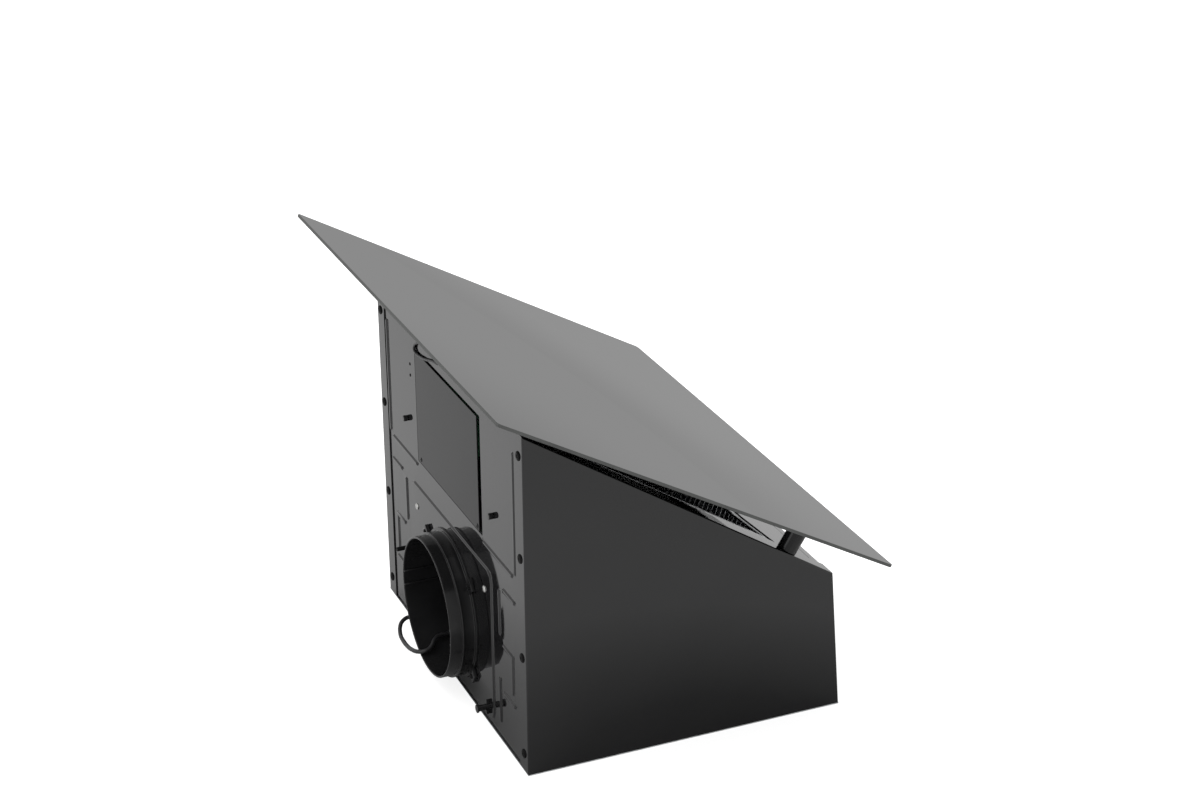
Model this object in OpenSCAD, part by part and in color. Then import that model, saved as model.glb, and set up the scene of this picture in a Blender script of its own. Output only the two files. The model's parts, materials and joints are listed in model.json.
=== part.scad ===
// Inclined wall hood: a folded black steel body, a hinged glass front that overhangs it,
// a mesh grease filter in the sloping face, and a centrifugal blower that lifts the air
// through a round collar with a pair of non-return flaps.
// X runs across the hood, Y into the wall (the wall is y = 0, the room is negative), Z is up.
// The origin is the middle of the four wall screw holes.

/* [Body] */
// Width of the steel body
body_w = 420; // [400:5:500]
// Height of the body at the wall
body_h = 340; // [335:5:380]
// Depth of the body at its top
body_d = 361; // [350:1:390]
// Depth of the body at its bottom
body_low_d = 152; // [140:1:180]
// How far the bottom rises from the wall to the front
floor_rise = 12; // [4:1:20]
// Thickness of the steel sheet
sheet = 1.2; // [0.8:0.1:1.5]
// Width of the flange folded round each side panel
flange_w = 22; // [16:1:26]
// Length of the lips folded on the top and bottom panels
lip = 14; // [10:1:18]
// Drop from the top to the middle of the wall screw holes
wall_drop = 150; // [130:5:180]
// Distance between the wall screw holes, side to side
wall_hole_w = 330; // [300:5:340]
// Distance between the wall screw holes, up and down
wall_hole_h = 240; // [200:5:250]
// Radius of a wall screw hole
wall_hole_r = 4; // [3:0.5:5]

/* [Glass front] */
// Width of the glass
glass_w = 600; // [560:10:900]
// Length of the glass down its slope
glass_len = 456; // [440:2:480]
// Thickness of the glass
glass_t = 5; // [4:0.5:6]
// How much less the glass leans than the sloping front, in degrees
glass_less = 3.5; // [2.5:0.5:4]
// How far the glass runs up the slope past the top of the body
glass_past = 80; // [70:1:100]
// Distance of the top edge of the glass from the plane of the sloping front
glass_stand = 21.35; // [20:0.05:24]
// Radius of the glass corners
glass_corner = 4; // [1:0.5:12]
// Radius of the rubbing posts that the glass rests on
post_r = 10; // [7:0.5:12]
// Distance of a rest post down the slope
post_down = 333; // [310:1:345]
// Distance of a rest post from the side of the body
post_inset = 12; // [12:0.5:16]
// Distance of each hinge from the side of the body
hinge_inset = 60; // [50:5:90]
// Radius of the hinge pin
hinge_pin_r = 2.5; // [2:0.1:3]
// Radius of the hinge barrel
barrel_r = 5.5; // [4.8:0.1:6]
// Length of one hinge knuckle
knuckle = 14; // [10:1:18]

/* [Filter] */
// Width of the front panel beside the filter opening
filter_side = 32; // [27:1:50]
// Distance of the filter opening down the slope
filter_top = 60; // [56:1:80]
// Distance of the lower edge of the opening down the slope, at its middle
filter_low = 317; // [290:1:322]
// How much further the opening reaches at its lower corners
filter_dip = 14; // [6:1:16]
// Thickness of the filter cassette
filter_t = 9; // [7:0.5:10]
// Width of the cassette frame
filter_rim = 9; // [7:0.5:12]
// Width of one diamond of the mesh
mesh_w = 30; // [24:1:40]
// Height of one diamond of the mesh
mesh_h = 20; // [16:1:28]
// Width of a mesh strand
mesh_strand = 2.2; // [1.6:0.1:3]
// Thickness of one mesh sheet
mesh_t = 1; // [0.6:0.1:1.5]
// Travel of the filter latch
latch_travel = 4; // [3:0.5:5]

/* [Blower] */
// Outer radius of the impeller
fan_r = 92; // [80:1:94]
// Depth of the blade ring
blade_depth = 104; // [90:1:106]
// Number of blades
blades = 40; // [24:1:48]
// Thickness of a blade
blade_t = 1; // [0.8:0.1:1.5]
// Sideways offset of the impeller from the collar
fan_x = 50; // [44:1:56]
// Drop from the top of the body to the impeller shaft
fan_drop = 175; // [172:1:184]
// Depth of the blower casing
blower_depth = 134; // [126:1:136]
// Gap between the wall and the blower casing
blower_back = 20; // [16:1:24]
// Radius of the motor
motor_r = 44; // [36:1:46]
// Length of the motor can
motor_len = 66; // [56:1:70]
// Radius of the motor shaft
shaft_r = 4; // [3:0.5:5]

/* [Collar] */
// Outer radius of the duct collar
collar_r = 73.6; // [68:0.1:75]
// Height of the collar rim over the body
collar_rise = 28; // [24:1:40]
// Wall of the collar
collar_wall = 2.2; // [1.6:0.1:3]
// Depth of the collar tube under the top panel
throat = 58; // [56:1:60]
// Radius of the flap axle
flap_pin_r = 2.5; // [2:0.1:3]
// Depth of the flap axle under the rim
flap_drop = 72; // [68:1:74]
// Thickness of a flap
flap_t = 2; // [1.5:0.1:2.5]
// Diameter of the lead that loops into the collar
lead_d = 4.5; // [4:0.1:5]

/* [Top panel] */
// Width of the recess for the electronics
recess_w = 190; // [170:2:200]
// Distance from the wall to the recess
recess_y = 207; // [203:1:212]
// Distance from the recess to the front edge of the top panel
recess_front = 26; // [24:1:40]
// Drop of the electronics cover in its recess
cover_drop = 2.5; // [1:0.5:4]
// Width of the dark gap along two sides of the cover
cover_gap = 4; // [2:0.5:6]
// Height of the pressed pad round the collar
pad_h = 1.5; // [0.8:0.1:2]
// Width of a pressed rib
rib_w = 4; // [3:0.5:6]
// Height of a pressed rib
rib_h = 1.2; // [0.6:0.1:2]

/* [Lamps] */
// Distance of each lamp from the side of the body
lamp_inset = 90; // [60:5:100]
// Radius of a lamp hole in the bottom panel
lamp_r = 30; // [24:1:32]

/* [Hidden] */
$fn = 64;

// Running gap between a pin and its hole, and gap between parts that only lie near each other
pin_gap = 0.05;
rest_gap = 0.3;
run_gap = 1;
// How far a cut runs past the face it opens
over = 1;

// Planes of the body: top, wall, floor and sloping front
top_z = wall_drop;
low_z = top_z - body_h;
front_drop = body_h - floor_rise;
slope_ang = atan2(body_d - body_low_d, front_drop);
slope_len = norm([body_d - body_low_d, front_drop]);
floor_ang = atan2(floor_rise, body_low_d);
hinge_x = body_w / 2 - hinge_inset;
filter_w = body_w - 2 * filter_side;
lamp_x = body_w / 2 - lamp_inset;
recess_len = body_d - recess_y - recess_front;
front_n = [-cos(slope_ang), -sin(slope_ang)];
floor_n = [-sin(floor_ang), -cos(floor_ang)];
planes = [
    [[0, 1], top_z],
    [[1, 0], 0],
    [floor_n, floor_n * [0, low_z]],
    [front_n, front_n * [-body_d, top_z]]];

// Meeting point of two planes of the body, each moved inwards by its own depth
function meet(a, b, in_a, in_b) =
    let (n = a[0], m = b[0], p = a[1] - in_a, q = b[1] - in_b)
    [p * m.y - q * n.y, n.x * q - m.x * p] / (n.x * m.y - n.y * m.x);

// Outline of the body moved inwards by the depth given for each plane
function shell_outline(in_top, in_wall, in_floor, in_front) = [
    meet(planes[0], planes[1], in_top, in_wall),
    meet(planes[1], planes[2], in_wall, in_floor),
    meet(planes[2], planes[3], in_floor, in_front),
    meet(planes[3], planes[0], in_front, in_top)];

// A point on the front plane, y up the slope from the top edge and z out of the plane
function front_pt(y, z) = [
    -body_d - y * sin(slope_ang) - z * cos(slope_ang),
    top_z + y * cos(slope_ang) - z * sin(slope_ang)];

// Sheets lie in two layers: flanges outside, folded panels one sheet further in
skin1 = shell_outline(sheet, 2 * sheet, sheet, sheet);
skin2 = shell_outline(2 * sheet, 3 * sheet, 2 * sheet, 2 * sheet);
inner_w = body_w - 2 * sheet;
plate_z = top_z - sheet;
under_z = plate_z - sheet;

module on_front() {
    translate([0, -body_d, top_z]) rotate([90 + slope_ang, 0, 0]) children();
}

module on_glass() {
    on_front() translate([0, glass_past, glass_stand]) rotate([-glass_less, 0, 0]) children();
}

module on_floor() {
    translate([0, 0, low_z]) rotate([-floor_ang, 0, 0]) children();
}

// A profile drawn in Y and Z, carried across X from its middle
module across(w) {
    translate([-w / 2, 0, 0]) rotate([90, 0, 90]) linear_extrude(w) children();
}

module both_sides() {
    children();
    mirror([1, 0, 0]) children();
}

module slab(x0, x1, y0, y1, z0, z1) {
    translate([x0, y0, z0]) cube([x1 - x0, y1 - y0, z1 - z0]);
}

// Side panels: a flat web with a flange folded inwards on all four edges
screw_first = 20;
screw_last = 23;
screw_count = 4;
screw_pitch = (body_d - screw_first - screw_last) / (screw_count - 1);
screw_r = 2;

module side_right_shape() {
    difference() {
        translate([body_w / 2 - flange_w, 0, 0]) rotate([90, 0, 90]) linear_extrude(flange_w)
            polygon(shell_outline(0, sheet, 0, 0));
        translate([body_w / 2 - flange_w - over, 0, 0]) rotate([90, 0, 90])
            linear_extrude(flange_w + over - sheet) polygon(skin1);
        edge_places() cylinder(h = 2 * sheet + over, r = screw_r + rest_gap, center = true);
    }
}

module edge_places() {
    for (i = [0:screw_count - 1])
        translate([body_w / 2 - screw_inset, -screw_first - i * screw_pitch, top_z]) children();
}
screw_inset = 8;

module side_right() {
    color([0.05, 0.05, 0.055]) side_right_shape();
}

module side_left() {
    color([0.05, 0.05, 0.055]) mirror([1, 0, 0]) side_right_shape();
}

module wall_places() {
    for (sx = [-1, 1], sz = [-1, 1])
        translate([sx * wall_hole_w / 2, 0, sz * wall_hole_h / 2]) rotate([90, 0, 0]) children();
}

// Back panel: one flat sheet against the wall with four screw holes
module back_panel() {
    color([0.62, 0.63, 0.64]) difference() {
        slab(-body_w / 2, body_w / 2, -sheet, 0, low_z, top_z);
        wall_places() cylinder(h = 2 * sheet + over, r = wall_hole_r, center = true);
    }
}

// Top panel: folded down at the wall and over the front edge, pressed for stiffness
pad_w = 238;
pad_y0 = 8;
pad_y1 = 178;
pad_corner = 12;
peg_r = 3.2;
peg_h = 5;
peg_lip = 1;
// Ribs on one half as shares of the half width and of the depth: x0, y0, x1, y1
rib_shares = [
    [0.87, 0.56, 0.87, 0.92],
    [0.46, 0.543, 0.84, 0.543],
    [0.72, 0.485, 0.85, 0.485],
    [0.725, 0.33, 0.82, 0.316],
    [0.82, 0.316, 0.835, 0.21],
    [0.66, 0.19, 0.66, 0.06],
    [0.71, 0.166, 0.83, 0.166]];

// Outline of a strip of width w with round ends
module strip_outline(x0, y0, x1, y1, w) {
    run = norm([x1 - x0, y1 - y0]);
    translate([x0, y0]) rotate(atan2(y1 - y0, x1 - x0)) polygon(concat(
        [for (a = [-90:15:90]) [run + w / 2 * cos(a), w / 2 * sin(a)]],
        [for (a = [90:15:270]) w / 2 * [cos(a), sin(a)]]));
}

module pad_outline() {
    x = pad_w / 2 - pad_corner;
    for (sx = [-x, x], y = [-pad_y0 - pad_corner, -pad_y1 + pad_corner])
        translate([sx, y]) circle(pad_corner);
    translate([-x, -pad_y1]) square([2 * x, pad_y1 - pad_y0]);
    translate([-pad_w / 2, -pad_y1 + pad_corner]) square([pad_w, pad_y1 - pad_y0 - 2 * pad_corner]);
}

module top_panel() {
    color([0.06, 0.06, 0.065]) difference() {
        union() {
            across(inner_w) polygon([
                [skin1[0].x, top_z - lip], skin1[0], skin1[3], front_pt(-lip, -sheet),
                front_pt(-lip, -2 * sheet), skin2[3], skin2[0], [skin2[0].x, top_z - lip]]);
            translate([0, 0, plate_z - sheet / 2]) linear_extrude(pad_h + sheet / 2) pad_outline();
            translate([0, 0, plate_z - sheet / 2]) linear_extrude(rib_h + sheet / 2) both_sides()
                for (r = rib_shares)
                    strip_outline(r[0] * body_w / 2, -r[1] * body_d, r[2] * body_w / 2, -r[3] * body_d,
                        rib_w);
        }
        translate([0, -collar_y, under_z - over])
            cylinder(h = 2 * sheet + pad_h + 2 * over, r = collar_r + rest_gap, $fn = 96);
        slab(-recess_w / 2, recess_w / 2, -recess_y - recess_len, -recess_y, under_z - over, plate_z + over);
        edge_places() cylinder(h = 6 * sheet, r = screw_r + pin_gap, center = true);
        mirror([1, 0, 0]) edge_places() cylinder(h = 6 * sheet, r = screw_r + pin_gap, center = true);
        translate([gland_at.x, gland_at.y, under_z - over])
            cylinder(h = 2 * sheet + pad_h + 2 * over, r = gland_r + pin_gap);
        panel_screw_places() cylinder(h = 6 * sheet, r = screw_r + pin_gap, center = true);
    }
}

// Bottom panel: folded up at the wall and at the front, with two lamp holes
module bottom_panel() {
    color([0.06, 0.06, 0.065]) difference() {
        across(inner_w) polygon([
            [skin1[1].x, low_z + lip], skin1[1], skin1[2], front_pt(lip - slope_len, -sheet),
            front_pt(lip - slope_len, -2 * sheet), skin2[2], skin2[1], [skin2[1].x, low_z + lip]]);
        lamp_places() cylinder(h = 6 * sheet, r = lamp_r, center = true);
    }
}

module lamp_places() {
    for (sx = [-1, 1]) on_floor() translate([sx * lamp_x, -body_low_d / 2, 0]) children();
}

// Front panel: the opening for the filter, with a channel behind its edge that holds the cassette
seat_w = 6;
seat_back = filter_t + 2 * sheet + rest_gap;
corner_share = 0.72;
cassette_gap = 0.8;

// Outline of the filter opening in the front plane, grown by g
module filter_outline(g) {
    w = filter_w / 2;
    polygon([
        [-w - g, g - filter_top], [w + g, g - filter_top],
        [w + g, -filter_low - filter_dip - g], [w * corner_share, -filter_low - g],
        [-w * corner_share, -filter_low - g], [-w - g, -filter_low - filter_dip - g]]);
}

module front_panel() {
    color([0.06, 0.06, 0.065]) on_front() difference() {
        union() {
            slab(pin_gap - inner_w / 2, inner_w / 2 - pin_gap, rest_gap + lip - slope_len, -lip - rest_gap,
                -2 * sheet - pin_gap, -sheet - pin_gap);
            translate([0, 0, -seat_back - sheet]) linear_extrude(seat_back - sheet) filter_outline(sheet);
        }
        translate([0, 0, -seat_back]) linear_extrude(seat_back + over) filter_outline(0);
        translate([0, 0, -seat_back - sheet - over]) linear_extrude(seat_back) filter_outline(-seat_w);
        slab(-latch_w / 2 - rest_gap, latch_w / 2 + rest_gap, -filter_low - latch_nose - rest_gap,
            -filter_low + over, -seat_back, over);
        hinge_screw_places() cylinder(h = 6 * sheet, r = screw_r + pin_gap, center = true);
    }
}

// Electronics: a tray under the recess with its board, motor capacitor and sunk cover
tray_deep = 28;
tray_flange = 6;
ledge = 9;

module electronics_box() {
    x = recess_w / 2;
    y0 = -recess_y - recess_len;
    cover_under = plate_z - cover_drop - sheet;
    color([0.55, 0.56, 0.57]) {
        difference() {
            union() {
                slab(-x - sheet, x + sheet, y0 - sheet, sheet - recess_y, under_z - tray_deep, under_z);
                slab(-x - tray_flange, x + tray_flange, y0 - sheet, tray_flange - recess_y,
                    under_z - sheet, under_z);
            }
            slab(-x, x, y0, -recess_y, under_z - tray_deep + sheet, under_z + over);
        }
        for (sx = [-1, 1], sy = [0, 1])
            translate([sx * (x - ledge / 2) - ledge / 2, y0 + sy * (recess_len - ledge),
                under_z - tray_deep])
                cube([ledge, ledge, cover_under - under_z + tray_deep]);
    }
}

module electronics_cover() {
    x = recess_w / 2;
    color([0.045, 0.045, 0.05]) difference() {
        slab(cover_gap - x, x - rest_gap, cover_gap - recess_y - recess_len, -recess_y - rest_gap,
            plate_z - cover_drop - sheet, plate_z - cover_drop);
        cover_screw_places() cylinder(h = 6 * sheet, r = screw_r + pin_gap, center = true);
    }
}

board_share = 0.75;
board_len = recess_len * board_share;
board_w = 140;
board_t = 1.6;
board_lift = 4;

module control_board() {
    z = under_z - tray_deep + sheet;
    y = -recess_y - recess_len / 2;
    color([0.1, 0.32, 0.16]) {
        slab(-board_w / 2, board_w / 2, y - board_len / 2, y + board_len / 2, z + board_lift,
            z + board_lift + board_t);
        for (sx = [-1, 1], sy = [-1, 1])
            translate([sx * (board_w / 2 - board_lift), y + sy * (board_len / 2 - board_lift), z])
                cylinder(h = board_lift, r = board_lift / 2);
        // transformer, relays and terminal strip
        for (b = board_blocks)
            translate([b[0] * board_w, y + b[1] * board_len, z + board_lift + board_t])
                cube([b[2] * board_w, b[3] * board_len, b[4] * tray_deep]);
    }
}
// Blocks on the board: corner x and y, size x and y as shares of the board, height as a share of the tray
board_blocks = [
    [-0.46, -0.42, 0.26, 0.36, 0.55],
    [-0.1, -0.42, 0.12, 0.2, 0.42],
    [0.06, -0.42, 0.12, 0.2, 0.42],
    [0.22, -0.42, 0.12, 0.2, 0.42],
    [-0.44, 0.34, 0.84, 0.1, 0.3]];

capacitor_r = board_len / 12;
capacitor_len = 44;

module run_capacitor() {
    color([0.86, 0.86, 0.84])
        translate([board_w / 2 - capacitor_len, -recess_y - recess_len / 2, under_z - tray_deep + sheet
            + board_lift + board_t + capacitor_r])
        rotate([0, 90, 0]) cylinder(h = capacitor_len - board_lift, r = capacitor_r);
}

// Blower casing: a spiral wall between two plates, open at the top under the collar
collar_y = blower_back + blower_depth / 2;
fan_z = top_z - fan_drop;
neck_z = plate_z - throat;
casing_w = collar_r + collar_wall;
case_wall = 1.5;
tongue_ang = 80;
sweep_ang = 260;
tongue_gap = 12;
tongue_r = fan_r + tongue_gap;
spiral_end_r = fan_x + casing_w;
spiral_steps = 26;

function spiral(t, grow) =
    let (r = tongue_r + (spiral_end_r - tongue_r) * t + grow, a = tongue_ang - sweep_ang * t)
    [fan_x + r * cos(a), fan_z + r * sin(a)];
function spiral_line(from, grow) = [for (i = [from:spiral_steps]) spiral(i / spiral_steps, grow)];
function flip(p) = [for (i = [len(p) - 1:-1:0]) p[i]];

case_top = neck_z - sheet;
wall_path = concat([[casing_w, case_top]], spiral_line(0, 0), [[-casing_w, case_top]]);
wall_back = concat([[casing_w + case_wall, case_top]], spiral_line(2, case_wall),
    [[-casing_w - case_wall, case_top]]);

// A profile drawn in X and Z, carried from the wall towards the room
module from_wall(y0, y1) {
    translate([0, -y0, 0]) rotate([90, 0, 0]) linear_extrude(y1 - y0) children();
}

module scroll_shell() {
    color([0.7, 0.71, 0.72]) {
        from_wall(blower_back + sheet, blower_back + blower_depth - sheet)
            polygon(concat(wall_path, flip(wall_back)));
        difference() {
            slab(-casing_w - case_wall, casing_w + case_wall, -blower_back - blower_depth, -blower_back,
                neck_z - sheet, neck_z);
            translate([0, -collar_y, neck_z - sheet - over])
                cylinder(h = sheet + 2 * over, r = collar_r - 2 * collar_wall, $fn = 96);
        }
    }
}

foot_r = 6;
// Places of the casing feet as shares of the impeller radius from the shaft
foot_shares = [[-1.05, -0.45], [0.95, -0.6], [0.95, 0.55], [-1.05, 0.95]];

module foot_places(y) {
    for (f = foot_shares)
        translate([fan_x + f.x * fan_r, -y, fan_z + f.y * fan_r]) rotate([90, 0, 0]) children();
}

plate_hole_gap = 4;
plate_hole_r = motor_r + plate_hole_gap;

module scroll_back() {
    color([0.7, 0.71, 0.72]) difference() {
        from_wall(blower_back, blower_back + sheet) polygon(wall_back);
        translate([fan_x, 0, fan_z]) rotate([90, 0, 0])
            cylinder(h = blower_back + sheet + over, r = plate_hole_r);
        foot_places(blower_back) cylinder(h = 4 * sheet, r = screw_r + pin_gap, center = true);
        bush_places() cylinder(h = 4 * sheet, r = bush_r + pin_gap, center = true);
    }
}

inlet_step = 16;
inlet_edge = 5;
inlet_r = fan_r - inlet_step;
inlet_hole_r = inlet_r + inlet_edge;

module scroll_front() {
    y = blower_back + blower_depth;
    color([0.7, 0.71, 0.72]) difference() {
        from_wall(y - sheet, y) polygon(wall_back);
        translate([fan_x, sheet + over - y, fan_z]) rotate([90, 0, 0])
            cylinder(h = 2 * sheet + 2 * over, r = inlet_hole_r, $fn = 96);
    }
}

// Inlet ring: a rolled bell mouth on the front plate that leads into the impeller
bell_r = 9;
bell_wall = 1.2;

module inlet_ring() {
    y = blower_back + blower_depth;
    color([0.78, 0.79, 0.8]) translate([fan_x, -y, fan_z]) rotate([90, 0, 0])
        rotate_extrude($fn = 96) {
            translate([inlet_r + bell_r, 0]) difference() {
                circle(bell_r, $fn = 48);
                circle(bell_r - bell_wall, $fn = 48);
                translate([-bell_r - over, -bell_r - over])
                    square([2 * bell_r + 2 * over, bell_r + over]);
            }
            translate([inlet_r, -bell_drop]) square([bell_wall, bell_drop]);
            translate([inlet_r + 2 * bell_r - bell_wall, 0]) square([bell_w, bell_wall]);
        }
}
bell_drop = 14;
bell_w = 6;

module casing_feet() {
    color([0.7, 0.71, 0.72]) foot_places(sheet) difference() {
        cylinder(h = blower_back - sheet, r = foot_r);
        translate([0, 0, blower_back / 2]) cylinder(h = blower_back, r = screw_r);
    }
}

// Motor: carried on a plate by four rubber bushes, its can reaching into the impeller
bush_r = 5;
bush_lip = 2;
motor_y = blower_back + sheet + bush_lip;
bush_reach = 14;
bush_ring = motor_r + bush_reach;
motor_plate_t = 2;
can_round = 6;

module bush_places() {
    for (a = [45:90:315])
        translate([fan_x + bush_ring * cos(a), -blower_back - sheet / 2, fan_z + bush_ring * sin(a)])
            rotate([90, 0, 0]) children();
}

module on_shaft(y) {
    translate([fan_x, -y, fan_z]) rotate([90, 0, 0]) children();
}

module motor_plate() {
    color([0.72, 0.73, 0.74]) on_shaft(motor_y) difference() {
        linear_extrude(motor_plate_t) {
            circle(motor_r);
            for (a = [45, 135])
                strip_outline(-bush_ring * cos(a), -bush_ring * sin(a),
                    bush_ring * cos(a), bush_ring * sin(a),
                    2 * bush_r + 2 * bush_lip);
        }
        for (a = [45:90:315]) translate([bush_ring * cos(a), bush_ring * sin(a), -over])
            cylinder(h = motor_plate_t + 2 * over, r = bush_r / 2 + pin_gap);
        translate([0, 0, -over]) cylinder(h = motor_plate_t + 2 * over, r = shaft_r * 2);
    }
}

module motor_bushes() {
    color([0.08, 0.08, 0.08]) bush_places() {
        translate([0, 0, -sheet / 2 - bush_lip]) cylinder(h = bush_lip, r = bush_r + bush_lip);
        translate([0, 0, -sheet / 2]) cylinder(h = sheet, r = bush_r);
        translate([0, 0, sheet / 2]) cylinder(h = bush_lip, r = bush_r + bush_lip);
        translate([0, 0, sheet / 2]) cylinder(h = 2 * bush_lip + motor_plate_t, r = bush_r / 2);
    }
}

module motor_can() {
    ribs = 24;
    color([0.8, 0.8, 0.81]) on_shaft(motor_y + motor_plate_t) difference() {
        union() {
            rotate_extrude($fn = 96) difference() {
                square([motor_r, motor_len]);
                translate([motor_r - can_round, motor_len - can_round]) difference() {
                    square(can_round + over);
                    circle(can_round);
                }
            }
            translate([0, 0, motor_len]) cylinder(h = can_round, r = 3 * shaft_r);
        }
        translate([0, 0, -over]) cylinder(h = motor_len + can_round + 2 * over, r = shaft_r + pin_gap);
        // cooling slots round the end bell
        for (i = [0:ribs / 2 - 1]) rotate([0, 0, 720 * i / ribs])
            translate([motor_r / 2, -over, motor_len - can_round])
                cube([motor_r / 4, 2 * over, 2 * can_round]);
    }
}

// Impeller: forward curved blades between a dished back disc and a front ring
fan_y = blower_back + blower_depth - bell_drop - run_gap;
blade_y = fan_y - blade_depth;
disc_t = 1.5;
blade_w = 13;
ring_edge = 0.6;
hub_r = 12;
hub_len = 16;
dish_gap = 8;
dish_r = motor_r + dish_gap;
dish_y = motor_y + motor_plate_t + motor_len + can_round + run_gap + disc_t;
hub_front = dish_y + hub_len;
nut_r = 7;
nut_h = 6;
blade_lean = 10.6;
blade_points = 5;

module motor_shaft() {
    color([0.75, 0.76, 0.78]) on_shaft(motor_y + motor_plate_t + over)
        cylinder(h = hub_front + nut_h + over - motor_y - motor_plate_t, r = shaft_r);
}

// One blade as an arc that leaves the inner rim radially and leans forward at the outer rim
blade_in = fan_r - blade_w + ring_edge;
blade_out = fan_r - ring_edge;
function blade_pt(s, side) =
    let (r = blade_in + (blade_out - blade_in) * s, a = blade_lean * s * s + side * blade_t / r * 90 / PI)
    [r * cos(a), r * sin(a)];

module blade() {
    polygon(concat(
        [for (i = [0:blade_points]) blade_pt(i / blade_points, 1)],
        [for (i = [blade_points:-1:0]) blade_pt(i / blade_points, -1)]));
}

module impeller() {
    dish = dish_y - blade_y;
    bore = shaft_r + pin_gap;
    color([0.74, 0.75, 0.77]) {
        on_shaft(blade_y) rotate_extrude($fn = 96) polygon([
            [bore, dish - disc_t], [dish_r - disc_t, dish - disc_t], [dish_r - disc_t, -disc_t],
            [fan_r, -disc_t], [fan_r, 0], [dish_r, 0], [dish_r, dish], [hub_r, dish],
            [hub_r, dish - disc_t + hub_len], [bore, dish - disc_t + hub_len]]);
        on_shaft(blade_y - disc_t / 2) for (i = [0:blades - 1]) rotate([0, 0, 360 * i / blades])
            linear_extrude(blade_depth) blade();
        on_shaft(fan_y - disc_t) rotate_extrude($fn = 96)
            translate([fan_r - blade_w, 0]) square([blade_w, disc_t]);
    }
}

module impeller_nut() {
    color([0.82, 0.8, 0.72]) on_shaft(dish_y - disc_t + hub_len) difference() {
        cylinder(h = nut_h, r = nut_r, $fn = 6);
        translate([0, 0, -over]) cylinder(h = nut_h + 2 * over, r = shaft_r + pin_gap);
    }
}

// Duct collar: a moulded tube with a bead, guide ribs for the flap axle and a seat for the flaps
bead_h = 2.2;
bead_out = 2.2;
bead_share = 0.47;
base_step = 1.4;
collar_flange_w = 10;
collar_flange_r = collar_r + collar_flange_w;
collar_flange_t = 2;
flap_z = top_z + collar_rise - flap_drop;
flap_clear = 2.5;
flap_r = collar_r - collar_wall - flap_clear;
seat_z = flap_z - flap_t / 2 - rest_gap;
seat_h = 2.5;
guide_w = 15.7;
guide_t = 2;
boss_r = 7;
lug_w = 14;
lug_angles = [38, 142, 218, 322];

module collar_profile() {
    r0 = collar_r - collar_wall;
    pad_z = plate_z + pad_h;
    bead_z = pad_z + (top_z + collar_rise - pad_z) * bead_share;
    z1 = top_z + collar_rise;
    translate([r0, neck_z]) square([collar_wall - over, z1 - neck_z]);
    translate([r0, under_z]) square([collar_wall, z1 - under_z - collar_wall / 2]);
    translate([r0 + collar_wall / 2, z1 - collar_wall / 2]) circle(collar_wall / 2, $fn = 32);
    translate([r0, bead_z]) square([collar_wall + bead_out, bead_h]);
    translate([r0, pad_z]) square([collar_wall + base_step, bead_z - pad_z]);
    translate([r0, pad_z]) square([collar_flange_r - r0, collar_flange_t]);
    translate([r0 - over, plate_z - collar_flange_t * 2]) square([2 * over, bead_h / 2]);
    translate([r0 - guide_t, seat_z - seat_h]) square([guide_t + over, seat_h]);
}

module duct_collar() {
    z1 = top_z + collar_rise;
    r0 = collar_r - collar_wall;
    pad_z = plate_z + pad_h;
    color([0.03, 0.03, 0.032]) translate([0, -collar_y, 0]) difference() {
        union() {
            rotate_extrude($fn = 128) collar_profile();
            for (a = lug_angles) rotate([0, 0, a])
                translate([collar_r, -lug_w / 2, pad_z])
                    cube([collar_flange_r - collar_r + lug_out, lug_w, 2 * collar_flange_t]);
            both_sides() intersection() {
                translate([0, 0, seat_z]) cylinder(h = z1 - seat_z - over, r = r0 + over, $fn = 128);
                union() {
                    for (sy = [-1, 1]) translate([flap_r + rest_gap, sy * guide_w / 2 - guide_t / 2, seat_z])
                        cube([collar_wall + guide_t, guide_t, z1 - seat_z]);
                    translate([flap_r + rest_gap, 0, flap_z]) rotate([0, 90, 0])
                        cylinder(h = boss_r, r = boss_r);
                }
            }
        }
        translate([-collar_r, 0, flap_z]) rotate([0, 90, 0])
            cylinder(h = 2 * collar_r, r = flap_pin_r + pin_gap);
        rotate([0, 0, lead_ang]) translate([0, 0, lead_exit_z]) rotate([0, 90, 0])
            cylinder(h = 2 * collar_r, r = grommet_r + pin_gap);
        for (a = lug_angles) rotate([0, 0, a]) translate([collar_flange_r, 0, pad_z - over])
            cylinder(h = 3 * collar_flange_t, r = screw_r);
    }
}
lug_out = 5;

module flap_axle() {
    color([0.78, 0.79, 0.8]) translate([-collar_r + rest_gap, -collar_y, flap_z]) rotate([0, 90, 0])
        cylinder(h = 2 * collar_r - 2 * rest_gap, r = flap_pin_r);
}

// Flaps: two half discs, each with its own pair of knuckles on the shared axle
flap_hub_t = 2.5;
flap_hub_r = flap_pin_r + flap_hub_t;
flap_edge = 8;
flap_knuckle = 12;
wall_knuckle_x = 38;
room_knuckle_x = 20;
flap_rib = 1.5;

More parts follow.
